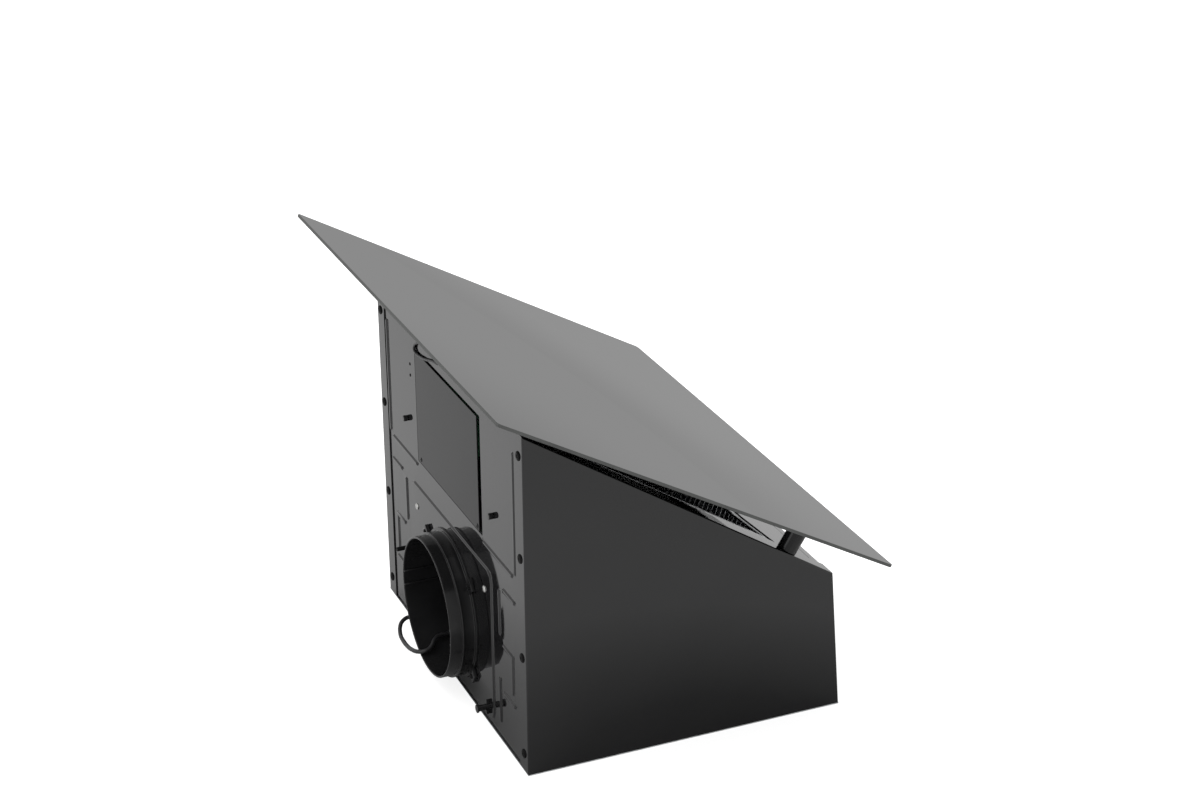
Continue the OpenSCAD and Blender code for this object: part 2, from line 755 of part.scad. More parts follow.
module flap_shape(knuckle_x) {
    difference() {
        union() {
            intersection() {
                translate([0, 0, -flap_t / 2]) cylinder(h = flap_t, r = flap_r, $fn = 96);
                slab(-flap_r - over, flap_r + over, flap_edge, flap_r + over, -flap_t, flap_t);
            }
            both_sides() translate([knuckle_x, 0, 0]) {
                translate([0, 0, -flap_t / 2]) cube([flap_knuckle, flap_edge + over, flap_t]);
                rotate([0, 90, 0]) cylinder(h = flap_knuckle, r = flap_hub_r);
            }
            for (s = [-1, 0, 1]) translate([s * flap_r / 2 - flap_rib / 2, flap_edge, flap_t / 2])
                cube([flap_rib, flap_r * 0.7, flap_rib]);
        }
        translate([-flap_r, 0, 0]) rotate([0, 90, 0]) cylinder(h = 2 * flap_r, r = flap_pin_r + pin_gap);
        // clearance round the axle bosses in the collar
        both_sides() translate([flap_r - guide_t * 2, -boss_r - guide_t, -flap_t])
            cube([flap_r, 2 * boss_r + 2 * guide_t + over, 2 * flap_t]);
    }
}

module flap_wall() {
    color([0.04, 0.04, 0.042]) translate([0, -collar_y, flap_z]) flap_shape(wall_knuckle_x);
}

module flap_room() {
    color([0.04, 0.04, 0.042]) translate([0, -collar_y, flap_z]) mirror([0, 1, 0])
        flap_shape(room_knuckle_x);
}

// Leads: a tube swept along chosen points, with each ring square to the route
function unit(v) = v / norm(v);
function heading(p, i) = unit(p[min(i + 1, len(p) - 1)] - p[max(i - 1, 0)]);
function carried(p, i) = i == 0
    ? unit(cross(heading(p, 0), [1, 2, 3]))
    : let (n = carried(p, i - 1), t = heading(p, i)) unit(n - (n * t) * t);
function ring(p, i, r, sides) =
    let (t = heading(p, i), n = carried(p, i), b = cross(t, n))
    [for (k = [0:sides - 1]) p[i] + r * (n * cos(360 * k / sides) + b * sin(360 * k / sides))];

module tube(p, r, sides) {
    last = (len(p) - 1) * sides;
    polyhedron(
        points = [for (i = [0:len(p) - 1]) each ring(p, i, r, sides)],
        faces = concat(
            [for (i = [0:len(p) - 2], k = [0:sides - 1])
                let (a = i * sides + k, b = i * sides + (k + 1) % sides)
                each [[a, b, a + sides], [b, b + sides, a + sides]]],
            [for (k = [1:sides - 2]) [0, k + 1, k]],
            [for (k = [1:sides - 2]) [last, last + k, last + k + 1]]));
}

gland_at = [104, -20];
gland_r = 4.5;
gland_h = 9;
gland_lip = 2.5;
lead_ang = 57;
lead_exit_z = 134;
grommet_r = 3.6;
grommet_out = 4;
grommet_lip = 2;
lead_points = [
    [104, -20, 154], [104, -20, 162], [103, -19.5, 168], [99, -17.5, 174], [92, -14.5, 178],
    [82, -12, 180.5], [71, -12, 181.5], [60, -13, 182], [49, -15, 182.3], [40, -17.5, 182.2],
    [32, -20, 181.9], [25.5, -22, 179.8], [21.5, -23.5, 175], [22, -25, 169], [25, -27, 164.5],
    [29.5, -29, 161], [33, -30.5, 156.5], [34.5, -31, 151], [35, -31, 145.5], [35.4, -30.8, 140.5],
    [36.1, -30.2, 137.1], [37.2, -29, 134.9], [38.5, -27.7, 134.1], [39.4, -26.4, 134],
    [41.3, -23.5, 134], [42.8, -21.3, 134]];

module lead_gland() {
    color([0.05, 0.05, 0.05]) translate([gland_at.x, gland_at.y, 0]) difference() {
        union() {
            translate([0, 0, under_z]) cylinder(h = plate_z + pad_h - under_z, r = gland_r);
            translate([0, 0, plate_z + pad_h]) cylinder(h = gland_h / 3, r = gland_r + gland_lip, $fn = 48);
            translate([0, 0, plate_z + pad_h + gland_h / 3]) cylinder(h = gland_h / 1.5, r = gland_r);
        }
        translate([0, 0, under_z - over])
            cylinder(h = gland_h + 4 * over + pad_h + sheet, r = lead_d / 2 + pin_gap);
    }
}

module lead_grommet() {
    color([0.05, 0.05, 0.05]) translate([0, -collar_y, lead_exit_z]) rotate([0, 0, lead_ang])
        rotate([0, 90, 0]) difference() {
            union() {
                translate([0, 0, collar_r - collar_wall]) cylinder(h = collar_wall - over, r = grommet_r);
                translate([0, 0, collar_r - over]) cylinder(h = grommet_out, r = grommet_r + grommet_lip);
            }
            cylinder(h = 2 * collar_r, r = lead_d / 2 + pin_gap);
        }
}

module collar_lead() {
    color([0.04, 0.04, 0.04]) tube(lead_points, lead_d / 2, 10);
}

recess_lead_d = 2.5;
recess_lead_points = [
    [98, -344, 150.2], [99.5, -340, 150.6], [99, -336, 150.9], [95.5, -333, 150.9], [91, -332.6, 150.5],
    [86, -333, 149.8], [80, -333.2, 148.8], [74, -333.3, 148], [68, -333.2, 147.6]];

module recess_lead() {
    color([0.03, 0.03, 0.03]) tube(recess_lead_points, recess_lead_d / 2, 8);
}

// Black pegs that stand on the top panel, and the screws that hold its edges
rear_peg_at = [105, 21];
rear_peg_h = 12;
cover_peg_at = [125.5, 243];

module rear_pegs() {
    color([0.03, 0.03, 0.03]) translate([-rear_peg_at.x, -rear_peg_at.y, plate_z + pad_h]) {
        cylinder(h = rear_peg_h, r = peg_r);
        translate([0, 0, rear_peg_h]) cylinder(h = peg_r / 2, r = peg_r + peg_lip);
        translate([-rib_w / 4, -peg_r * 2.5, 0]) cube([rib_w / 2, peg_r * 5, peg_r]);
    }
}

module cover_pegs() {
    color([0.03, 0.03, 0.03]) both_sides() translate([cover_peg_at.x, -cover_peg_at.y, plate_z])
        cylinder(h = peg_h, r = peg_r);
}

screw_head_r = 3.6;
screw_head_h = 1.6;

module pan_screw(grip) {
    translate([0, 0, -grip]) cylinder(h = grip, r = screw_r);
    rotate_extrude($fn = 32) intersection() {
        square([screw_head_r, screw_head_h]);
        translate([0, screw_head_h - screw_head_r]) circle(screw_head_r);
    }
}

module edge_screws() {
    color([0.1, 0.1, 0.1]) both_sides() edge_places() pan_screw(2 * sheet);
}

panel_screw_at = [100, 151.5];

module panel_screw_places() {
    for (sx = [-1, 1]) translate([sx * panel_screw_at.x, -panel_screw_at.y, plate_z + pad_h]) children();
}

module cover_screw_places() {
    for (sx = [-1, 1]) translate([sx * (recess_w / 2 - ledge), -recess_y - ledge / 2, plate_z - cover_drop])
        children();
}

module panel_screws() {
    color([0.8, 0.8, 0.82]) {
        panel_screw_places() pan_screw(pad_h + sheet);
        cover_screw_places() pan_screw(sheet);
    }
}

// Lamps: a flat ring and lens in each hole of the bottom panel
lamp_ring_w = 4;
lamp_ring_r = lamp_r + lamp_ring_w;
lamp_ring_t = 2;
lamp_body_h = 12;
lens_r = lamp_r - lamp_ring_w;

module lamp_ring(side) {
    color([0.75, 0.76, 0.78]) on_floor() translate([side * lamp_x, -body_low_d / 2, sheet]) difference() {
        union() {
            translate([0, 0, -lamp_ring_t]) cylinder(h = lamp_ring_t, r = lamp_ring_r);
            cylinder(h = lamp_body_h, r = lamp_r - pin_gap);
        }
        translate([0, 0, -lamp_ring_t - over])
            cylinder(h = lamp_ring_t + over + lamp_ring_t, r = lens_r + pin_gap);
    }
}

module lamp_lens(side) {
    color([0.92, 0.92, 0.9]) on_floor()
        translate([side * lamp_x, -body_low_d / 2, sheet - lamp_ring_t + lamp_ring_t / 4])
        cylinder(h = 1.75 * lamp_ring_t, r = lens_r);
}

// Hinges: a base screwed to the front panel, a leaf bonded to the glass, and a pin between them
hinge_drop = 9;
hinge_off = 11;
base_len = 38;
base_w = 52;
leaf_w = 54;
leaf_len = 44;
leaf_t = 2;
leaf_above = 8;
knuckle_gap = 0.3;
arm_t = 6;

// A point on the front plane, seen from the inner face of the glass: its height and its place
function glass_off(y, z) =
    (y - glass_past) * sin(glass_less) + (z - glass_stand) * cos(glass_less) + glass_t;
function glass_along(y, z) =
    (y - glass_past) * cos(glass_less) - (z - glass_stand) * sin(glass_less);
hinge_gap_in = -glass_off(-hinge_drop, hinge_off);
hinge_up = glass_along(-hinge_drop, hinge_off);

module hinge_screw_places() {
    on_hinge_rows() children();
}

module on_hinge_rows() {
    for (sx = [-1, 1], k = [-1, 1])
        translate([sx * hinge_x + k * base_w / 3, -hinge_drop - base_len * 0.68, -sheet]) children();
}

module hinge_base(side) {
    color([0.12, 0.12, 0.12]) {
        on_front() translate([side * hinge_x, 0, 0]) difference() {
            union() {
                slab(-base_w / 2, base_w / 2, -hinge_drop - base_len, -lip - 2 * rest_gap,
                    -sheet, leaf_t - sheet);
                for (k = [-1, 1]) translate([k * (knuckle + knuckle_gap) - knuckle / 2, 0, 0]) {
                    translate([0, -hinge_drop, hinge_off]) rotate([0, 90, 0])
                        cylinder(h = knuckle, r = barrel_r);
                    slab(0, knuckle, -hinge_drop - barrel_r - arm_t, -hinge_drop - barrel_r / 2,
                        -sheet, hinge_off);
                }
            }
            translate([-base_w, -hinge_drop, hinge_off]) rotate([0, 90, 0])
                cylinder(h = 2 * base_w, r = hinge_pin_r + pin_gap);
        }
    }
}

module hinge_pin(side) {
    color([0.75, 0.76, 0.78]) on_front()
        translate([side * hinge_x - 1.5 * knuckle - 3 * knuckle_gap, -hinge_drop, hinge_off])
        rotate([0, 90, 0]) cylinder(h = 3 * knuckle + 6 * knuckle_gap, r = hinge_pin_r);
}

module hinge_leaf(side) {
    color([0.12, 0.12, 0.12]) on_glass() translate([side * hinge_x, hinge_up, -glass_t]) difference() {
        union() {
            slab(-leaf_w / 2, leaf_w / 2, leaf_above - leaf_len, leaf_above, -leaf_t, 0);
            translate([-knuckle / 2, 0, -hinge_gap_in]) rotate([0, 90, 0])
                cylinder(h = knuckle, r = barrel_r);
            slab(-knuckle / 2, knuckle / 2, -arm_t / 2, arm_t / 2, -hinge_gap_in, 0);
        }
        translate([-leaf_w, 0, -hinge_gap_in]) rotate([0, 90, 0])
            cylinder(h = 2 * leaf_w, r = hinge_pin_r + pin_gap);
    }
}

// Glass, its steel strike plates, and the posts with magnets that it rests on
strike_t = 2;
strike_edge = 3;
strike_r = post_r + strike_edge;
magnet_r = post_r * 0.6;
magnet_t = 4;
post_x = body_w / 2 - post_inset;
post_reach = -glass_off(-post_down, 0);
post_along = glass_along(-post_down, post_reach);

module glass_panel() {
    w = glass_w / 2 - glass_corner;
    color([0.02, 0.02, 0.022]) on_glass() translate([0, 0, -glass_t]) linear_extrude(glass_t) {
        for (sx = [-w, w], y = [-glass_corner, glass_corner - glass_len])
            translate([sx, y]) circle(glass_corner);
        translate([-w, -glass_len]) square([2 * w, glass_len]);
        translate([-glass_w / 2, glass_corner - glass_len]) square([glass_w, glass_len - 2 * glass_corner]);
    }
}

module strike_plates() {
    color([0.7, 0.71, 0.72]) both_sides() on_glass() translate([post_x, post_along, -glass_t - strike_t])
        cylinder(h = strike_t, r = strike_r);
}

module post_trim(depth) {
    on_glass() slab(-glass_w, glass_w, -2 * glass_len, glass_len,
        -glass_t - strike_t - rest_gap - depth, glass_w);
}

module rest_post(side) {
    color([0.03, 0.03, 0.03]) difference() {
        on_front() translate([side * post_x, -post_down, 0]) cylinder(h = post_reach, r = post_r);
        post_trim(0);
        on_front() translate([side * post_x, -post_down, post_reach - strike_t - magnet_t])
            cylinder(h = 2 * magnet_t, r = magnet_r + pin_gap);
    }
}

module rest_magnets() {
    color([0.6, 0.6, 0.62]) difference() {
        both_sides() on_front() translate([post_x, -post_down, post_reach - strike_t - magnet_t])
            cylinder(h = 2 * magnet_t, r = magnet_r);
        post_trim(0);
    }
}

touch_w = 170;
touch_h = 32;
touch_t = 9;
touch_low = 12;

module touch_board() {
    wall = 1.5;
    color([0.05, 0.05, 0.05]) on_glass() translate([0, touch_low - glass_len, -glass_t - touch_t])
        difference() {
            slab(-touch_w / 2, touch_w / 2, 0, touch_h, 0, touch_t);
            slab(wall - touch_w / 2, touch_w / 2 - wall, wall, touch_h - wall, wall, touch_t - wall);
        }
}

// Filter cassette: an aluminium channel frame round two sheets of diamond mesh. Its upper edge is
// rolled, and the cassette tilts in its seat about the middle of that roll.
mesh_rise = 2;
mesh_inset = 3;
channel = 1.2;
roll_y = -filter_top - cassette_gap - filter_t / 2;
filter_back = -2 * sheet - filter_t;

module filter_place() {
    on_front() translate([0, 0, filter_back]) children();
}

module rolled_blank(inset) {
    translate([0, 0, inset]) linear_extrude(filter_t - 2 * inset) difference() {
        filter_outline(-cassette_gap - inset);
        translate([-filter_w, roll_y]) square([2 * filter_w, filter_top]);
    }
    translate([0, roll_y, filter_t / 2]) rotate([0, 90, 0])
        cylinder(h = filter_w - 2 * cassette_gap - 2 * inset, r = filter_t / 2 - inset, center = true);
}

module filter_frame() {
    color([0.72, 0.73, 0.74]) filter_place() difference() {
        rolled_blank(0);
        translate([0, 0, -over]) linear_extrude(filter_t + 2 * over)
            filter_outline(-cassette_gap - filter_rim);
        rolled_blank(channel);
    }
}

module mesh_sheet() {
    nx = ceil(filter_w / mesh_w / 2) + 1;
    ny = ceil((filter_low + filter_dip - filter_top) / mesh_h / 2) + 1;
    mid = -(filter_top + filter_low + filter_dip) / 2;
    difference() {
        filter_outline(-cassette_gap - mesh_inset);
        intersection() {
            filter_outline(-cassette_gap - filter_rim);
            for (i = [-nx:nx], j = [-ny:ny], k = [0, 0.5])
                translate([(i + k) * mesh_w, mid + (j + k) * mesh_h]) polygon([
                    [mesh_w / 2 - mesh_strand, 0], [0, mesh_h / 2 - mesh_strand * mesh_h / mesh_w],
                    [mesh_strand - mesh_w / 2, 0], [0, mesh_strand * mesh_h / mesh_w - mesh_h / 2]]);
        }
    }
}

module filter_mesh_front() {
    color([0.6, 0.61, 0.62]) filter_place() translate([0, 0, filter_t - mesh_rise - mesh_t])
        linear_extrude(mesh_t) mesh_sheet();
}

module filter_mesh_back() {
    color([0.6, 0.61, 0.62]) filter_place() translate([0, 0, mesh_rise]) linear_extrude(mesh_t) mesh_sheet();
}

// Filter handle with its sprung latch
handle_w = 70;
handle_h = 24;
handle_t = 4;
latch_w = 22;
latch_nose = 4;
latch_t = 3;
latch_len = 14;
pocket = 2;

module handle_frame() {
    on_front() translate([0, cassette_gap - filter_low, filter_back + filter_t]) children();
}

module filter_handle() {
    color([0.06, 0.06, 0.06]) handle_frame() difference() {
        slab(-handle_w / 2, handle_w / 2, 0, handle_h, 0, handle_t + pocket);
        slab(-latch_w / 2 - rest_gap, latch_w / 2 + rest_gap, -over, latch_len + latch_travel + rest_gap,
            pocket, handle_t + pocket + over);
        slab(-latch_w / 2 - rest_gap, latch_w / 2 + rest_gap, -over, latch_travel + rest_gap,
            -over, pocket + over);
        slab(-spring_r - rest_gap, spring_r + rest_gap, latch_len - pocket, handle_h - pocket,
            pocket, handle_t + pocket + over);
        for (sx = [-1, 1]) translate([sx * handle_w * 0.34, handle_h / 2, pocket])
            cylinder(h = handle_t + pocket, r = handle_h / 4);
    }
}

module filter_latch() {
    color([0.1, 0.1, 0.1]) handle_frame() {
        slab(-latch_w / 2, latch_w / 2, -latch_nose, latch_len,
            pocket + rest_gap, pocket + rest_gap + latch_t);
        slab(-latch_w / 2, latch_w / 2, -latch_nose, -rest_gap, rest_gap, pocket + rest_gap + over);
        slab(-latch_w / 4, latch_w / 4, latch_len / 3, latch_len / 2, pocket + rest_gap + latch_t,
            pocket + rest_gap + 2 * latch_t);
    }
}

spring_r = 1.4;
spring_wire = 0.3;
spring_turns = 5;
spring_rings = 8;
spring_len = handle_h - pocket - latch_len;
spring_path = [for (i = [0:spring_turns * spring_rings])
    let (a = 360 * i / spring_rings)
    [(spring_r - spring_wire) * cos(a),
        spring_wire + (spring_len - 2 * spring_wire) * i / spring_turns / spring_rings,
        (spring_r - spring_wire) * sin(a)]];

module latch_spring() {
    color([0.75, 0.76, 0.78]) handle_frame() translate([0, latch_len, pocket + rest_gap + latch_t / 2])
        tube(spring_path, spring_wire, 6);
}

side_left();
side_right();
back_panel();
top_panel();
bottom_panel();
front_panel();
electronics_box();
electronics_cover();
control_board();
run_capacitor();
recess_lead();
scroll_shell();
scroll_back();
scroll_front();
inlet_ring();
casing_feet();
motor_can();
motor_plate();
motor_bushes();
motor_shaft();
impeller();
impeller_nut();
duct_collar();
flap_axle();
flap_wall();
flap_room();
lead_gland();
lead_grommet();
collar_lead();
rear_pegs();
cover_pegs();
edge_screws();
panel_screws();
lamp_ring(-1);  // lamp_ring_left
lamp_ring(1);  // lamp_ring_right
lamp_lens(-1);  // lamp_lens_left
lamp_lens(1);  // lamp_lens_right
hinge_base(-1);  // hinge_base_left
hinge_base(1);  // hinge_base_right
hinge_pin(-1);  // hinge_pin_left
hinge_pin(1);  // hinge_pin_right
hinge_leaf(-1);  // hinge_leaf_left
hinge_leaf(1);  // hinge_leaf_right
rest_post(-1);  // rest_post_left
rest_post(1);  // rest_post_right
rest_magnets();
glass_panel();
strike_plates();
touch_board();
filter_frame();
filter_mesh_front();
filter_mesh_back();
filter_handle();
filter_latch();
latch_spring();
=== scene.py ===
# An inclined wall hood lying on its wall side, seen from beyond its left end.
# X runs across the hood, Y into the wall and Z up the wall, in metres.
import json
import math

import bmesh
import bpy
from mathutils import Matrix, Vector

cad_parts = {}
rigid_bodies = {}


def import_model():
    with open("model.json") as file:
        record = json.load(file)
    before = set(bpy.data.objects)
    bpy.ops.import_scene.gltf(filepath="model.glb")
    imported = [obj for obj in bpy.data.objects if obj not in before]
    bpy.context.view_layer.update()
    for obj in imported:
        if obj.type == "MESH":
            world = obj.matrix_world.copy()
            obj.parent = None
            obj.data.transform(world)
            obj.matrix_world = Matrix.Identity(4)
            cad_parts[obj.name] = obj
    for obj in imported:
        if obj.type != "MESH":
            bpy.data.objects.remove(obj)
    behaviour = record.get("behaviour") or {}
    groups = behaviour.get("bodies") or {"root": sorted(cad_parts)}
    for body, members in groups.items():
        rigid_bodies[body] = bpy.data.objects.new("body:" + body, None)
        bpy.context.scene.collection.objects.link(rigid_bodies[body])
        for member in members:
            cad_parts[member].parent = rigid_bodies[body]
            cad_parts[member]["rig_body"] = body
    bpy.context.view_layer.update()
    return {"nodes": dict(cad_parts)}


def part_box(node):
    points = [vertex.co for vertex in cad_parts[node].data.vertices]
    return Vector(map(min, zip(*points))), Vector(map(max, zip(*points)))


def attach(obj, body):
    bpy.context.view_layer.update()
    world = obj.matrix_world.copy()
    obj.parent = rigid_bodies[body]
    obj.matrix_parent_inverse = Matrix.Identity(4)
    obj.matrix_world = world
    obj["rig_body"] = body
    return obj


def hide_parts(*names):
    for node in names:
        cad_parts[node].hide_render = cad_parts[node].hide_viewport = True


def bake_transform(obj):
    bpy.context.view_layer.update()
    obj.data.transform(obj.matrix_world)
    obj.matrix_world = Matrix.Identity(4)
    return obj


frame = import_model()

# Camera: it stands beyond the hood's left end and looks across the glass and the top plate,
# with the wall side of the hood as the ground.
eye = Vector((-2.0362, -1.2547, 0.8499))
look = Vector((0.84266, 0.40159, -0.35869)).normalized()
head = Vector((0.36731, -0.91581, -0.16241)).normalized()
aside = look.cross(head).normalized()
lens = bpy.data.cameras.new("camera")
lens.sensor_width = 36
lens.lens = 71.05
camera = bpy.data.objects.new("camera", lens)
camera.matrix_world = Matrix.Translation(eye) @ Matrix((aside, head, -look)).transposed().to_4x4()
bpy.context.scene.collection.objects.link(camera)
bpy.context.scene.camera = camera
bpy.context.scene.view_settings.view_transform = "Standard"

# Studio: a round pale floor behind the hood's wall side, a white surround, and two large soft
# lamps. Round the hood the floor's colour is painted darker, a painted shadow that shows mostly
# in the hood's reflections. The floor can be seen through from behind and from close by, so that
# it doesn't hide or darken the back of the hood.
floor_r = 14
floor_gap = 0.0004
floor_pale = 0.98
# Painted shadow on the floor: its colour round the hood, its middle, and the radii where it fades out
floor_painted_shadow = 0.5
floor_lift = 0.8
painted_shadow_middle = (-0.1, 0, -0.03)
painted_shadow_r = 0.18
painted_shadow_end_r = 0.38
close_ray = 0.003
surround = 0.7

ground = bmesh.new()
floor_place = Matrix.Translation((0, floor_gap, 0)) @ Matrix.Rotation(math.pi / 2, 4, "X")
bmesh.ops.create_circle(ground, cap_ends=True, radius=floor_r, segments=128, matrix=floor_place)
floor_mesh = bpy.data.meshes.new("studio_floor")
ground.to_mesh(floor_mesh)
ground.free()
studio_floor = bpy.data.objects.new("studio_floor", floor_mesh)
bpy.context.scene.collection.objects.link(studio_floor)

floor_paint = bpy.data.materials.new("studio_floor")
floor_paint.use_nodes = True
nodes = floor_paint.node_tree.nodes
links = floor_paint.node_tree.links
nodes.clear()
matt = nodes.new("ShaderNodeBsdfDiffuse")
spot = nodes.new("ShaderNodeTexCoord")
away = nodes.new("ShaderNodeVectorMath")
away.operation = "DISTANCE"
away.inputs[1].default_value = painted_shadow_middle
links.new(spot.outputs["Object"], away.inputs[0])
# Painted shadow: the floor's colour goes from dark near the hood to pale further out.
shade = nodes.new("ShaderNodeMapRange")
shade.inputs["From Min"].default_value = painted_shadow_r
shade.inputs["From Max"].default_value = painted_shadow_end_r
shade.inputs["To Min"].default_value = floor_painted_shadow
shade.inputs["To Max"].default_value = floor_pale
links.new(away.outputs["Value"], shade.inputs["Value"])
links.new(shade.outputs[0], matt.inputs["Color"])
glow = nodes.new("ShaderNodeEmission")
glow.inputs["Strength"].default_value = floor_lift
clear = nodes.new("ShaderNodeBsdfTransparent")
nothing = nodes.new("ShaderNodeEmission")
nothing.inputs["Strength"].default_value = 0
ray = nodes.new("ShaderNodeLightPath")
side_seen = nodes.new("ShaderNodeNewGeometry")
lift = nodes.new("ShaderNodeMixShader")
links.new(ray.outputs["Is Camera Ray"], lift.inputs["Fac"])
links.new(nothing.outputs[0], lift.inputs[1])
links.new(glow.outputs[0], lift.inputs[2])
lit = nodes.new("ShaderNodeAddShader")
links.new(matt.outputs[0], lit.inputs[0])
links.new(lift.outputs[0], lit.inputs[1])
close_by = nodes.new("ShaderNodeMath")
close_by.operation = "LESS_THAN"
close_by.inputs[1].default_value = close_ray
links.new(ray.outputs["Ray Length"], close_by.inputs[0])
open_now = nodes.new("ShaderNodeMath")
open_now.operation = "MAXIMUM"
links.new(side_seen.outputs["Backfacing"], open_now.inputs[0])
links.new(close_by.outputs[0], open_now.inputs[1])
one_sided = nodes.new("ShaderNodeMixShader")
links.new(open_now.outputs[0], one_sided.inputs["Fac"])
links.new(lit.outputs[0], one_sided.inputs[1])
links.new(clear.outputs[0], one_sided.inputs[2])
out = nodes.new("ShaderNodeOutputMaterial")
links.new(one_sided.outputs[0], out.inputs["Surface"])
floor_mesh.materials.append(floor_paint)

world = bpy.data.worlds.new("studio")
world.use_nodes = True
bpy.context.scene.world = world
nodes = world.node_tree.nodes
links = world.node_tree.links
white = nodes["Background"]
white.inputs["Color"].default_value = (1, 1, 1, 1)
ray = nodes.new("ShaderNodeLightPath")
level = nodes.new("ShaderNodeMapRange")
level.inputs["To Min"].default_value = surround
level.inputs["To Max"].default_value = 1
links.new(ray.outputs["Is Camera Ray"], level.inputs["Value"])
links.new(level.outputs[0], white.inputs["Strength"])


def soft_lamp(name, place, aim, size, power):
    """A square soft lamp, turned to shine at one point."""
    lamp = bpy.data.lights.new(name, "AREA")
    lamp.shape = "SQUARE"
    lamp.size = size
    lamp.energy = power
    stand = bpy.data.objects.new(name, lamp)
    turn = (Vector(aim) - Vector(place)).to_track_quat("-Z", "Y").to_matrix().to_4x4()
    stand.matrix_world = Matrix.Translation(place) @ turn
    bpy.context.scene.collection.objects.link(stand)


soft_lamp("overhead_lamp", place=(-0.3, -2.6, 0.9), aim=(0, 0, 0), size=1.8, power=12.5)
soft_lamp("side_lamp", place=(-0.6, -1.2, 2.6), aim=(0, -0.1, 0), size=1.6, power=8)


# Side panels: pressed from one sheet each, with a flange folded in on all four edges, sprayed
# gloss black. The folds keep a small radius.
body_w = 0.420
body_d = 0.361
body_low_d = 0.152
top_z = 0.150
low_z = -0.190
floor_rise = 0.012
sheet = 0.0012
flange_w = 0.022
fold_r = 0.0018
slope = math.atan2(body_d - body_low_d, top_z - low_z - floor_rise)
slope_len = math.hypot(body_d - body_low_d, top_z - low_z - floor_rise)


def effect_group(name, fine_kind):
    """A pattern in object space: a fine mask and a broad one, each from 0 to 1."""
    group = bpy.data.node_groups.new(name, "ShaderNodeTree")
    for title, value in (("Fine Scale", 900), ("Broad Scale", 6)):
        entry = group.interface.new_socket(title, in_out="INPUT", socket_type="NodeSocketFloat")
        entry.default_value = value
    for title in ("Fine", "Broad"):
        group.interface.new_socket(title, in_out="OUTPUT", socket_type="NodeSocketFloat")
    nodes = group.nodes
    links = group.links
    entry = nodes.new("NodeGroupInput")
    leave = nodes.new("NodeGroupOutput")
    place = nodes.new("ShaderNodeTexCoord")
    spread = nodes.new("ShaderNodeMapRange")
    if fine_kind == "cells":
        fine = nodes.new("ShaderNodeTexVoronoi")
        fine.feature = "F1"
        one_shade = nodes.new("ShaderNodeSeparateColor")
        links.new(fine.outputs["Color"], one_shade.inputs[0])
        links.new(one_shade.outputs[0], spread.inputs["Value"])
    else:
        fine = nodes.new("ShaderNodeTexNoise")
        fine.inputs["Detail"].default_value = 3
        links.new(fine.outputs["Fac"], spread.inputs["Value"])
        spread.inputs["From Min"].default_value = 0.25
        spread.inputs["From Max"].default_value = 0.75
    links.new(place.outputs["Object"], fine.inputs["Vector"])
    links.new(entry.outputs["Fine Scale"], fine.inputs["Scale"])
    links.new(spread.outputs[0], leave.inputs["Fine"])
    broad = nodes.new("ShaderNodeTexNoise")
    broad.inputs["Detail"].default_value = 5
    links.new(place.outputs["Object"], broad.inputs["Vector"])
    links.new(entry.outputs["Broad Scale"], broad.inputs["Scale"])
    clouds = nodes.new("ShaderNodeMapRange")
    clouds.inputs["From Min"].default_value = 0.3
    clouds.inputs["From Max"].default_value = 0.7
    links.new(broad.outputs["Fac"], clouds.inputs["Value"])
    links.new(clouds.outputs[0], leave.inputs["Broad"])
    return group


grain = effect_group("grain", "noise")


def new_finish(name, effect, dark, light, rough, fine, broad, depth=0.0, metal=0.0, ior=1.5,
               tint_by="Broad"):
    """A material whose colour, roughness and relief vary over the surface with one effect."""
    material = bpy.data.materials.new(name)
    material.use_nodes = True
    nodes = material.node_tree.nodes
    links = material.node_tree.links
    shader = nodes["Principled BSDF"]
    shader.inputs["Metallic"].default_value = metal
    shader.inputs["IOR"].default_value = ior
    pattern = nodes.new("ShaderNodeGroup")
    pattern.node_tree = effect
    pattern.inputs["Fine Scale"].default_value = fine
    pattern.inputs["Broad Scale"].default_value = broad
    tint = nodes.new("ShaderNodeMix")
    tint.data_type = "RGBA"
    tint.inputs[6].default_value = (*dark, 1)
    tint.inputs[7].default_value = (*light, 1)
    links.new(pattern.outputs[tint_by], tint.inputs[0])
    links.new(tint.outputs[2], shader.inputs["Base Color"])
    gloss = nodes.new("ShaderNodeMapRange")
    gloss.inputs["To Min"].default_value = rough[0]
    gloss.inputs["To Max"].default_value = rough[1]
    links.new(pattern.outputs["Broad"], gloss.inputs["Value"])
    links.new(gloss.outputs[0], shader.inputs["Roughness"])
    if depth:
        relief = nodes.new("ShaderNodeBump")
        relief.inputs["Distance"].default_value = depth
        links.new(pattern.outputs["Fine"], relief.inputs["Height"])
        links.new(relief.outputs[0], shader.inputs["Normal"])
    return material


def new_object(node, shape, finishes):
    """The object of a finished piece, named after the node it stands for."""
    mesh = bpy.data.meshes.new(node + "_finished")
    shape.to_mesh(mesh)
    shape.free()
    for finish in finishes:
        mesh.materials.append(finish)
    piece = bpy.data.objects.new(node + "_finished", mesh)
    bpy.context.scene.collection.objects.link(piece)
    return piece


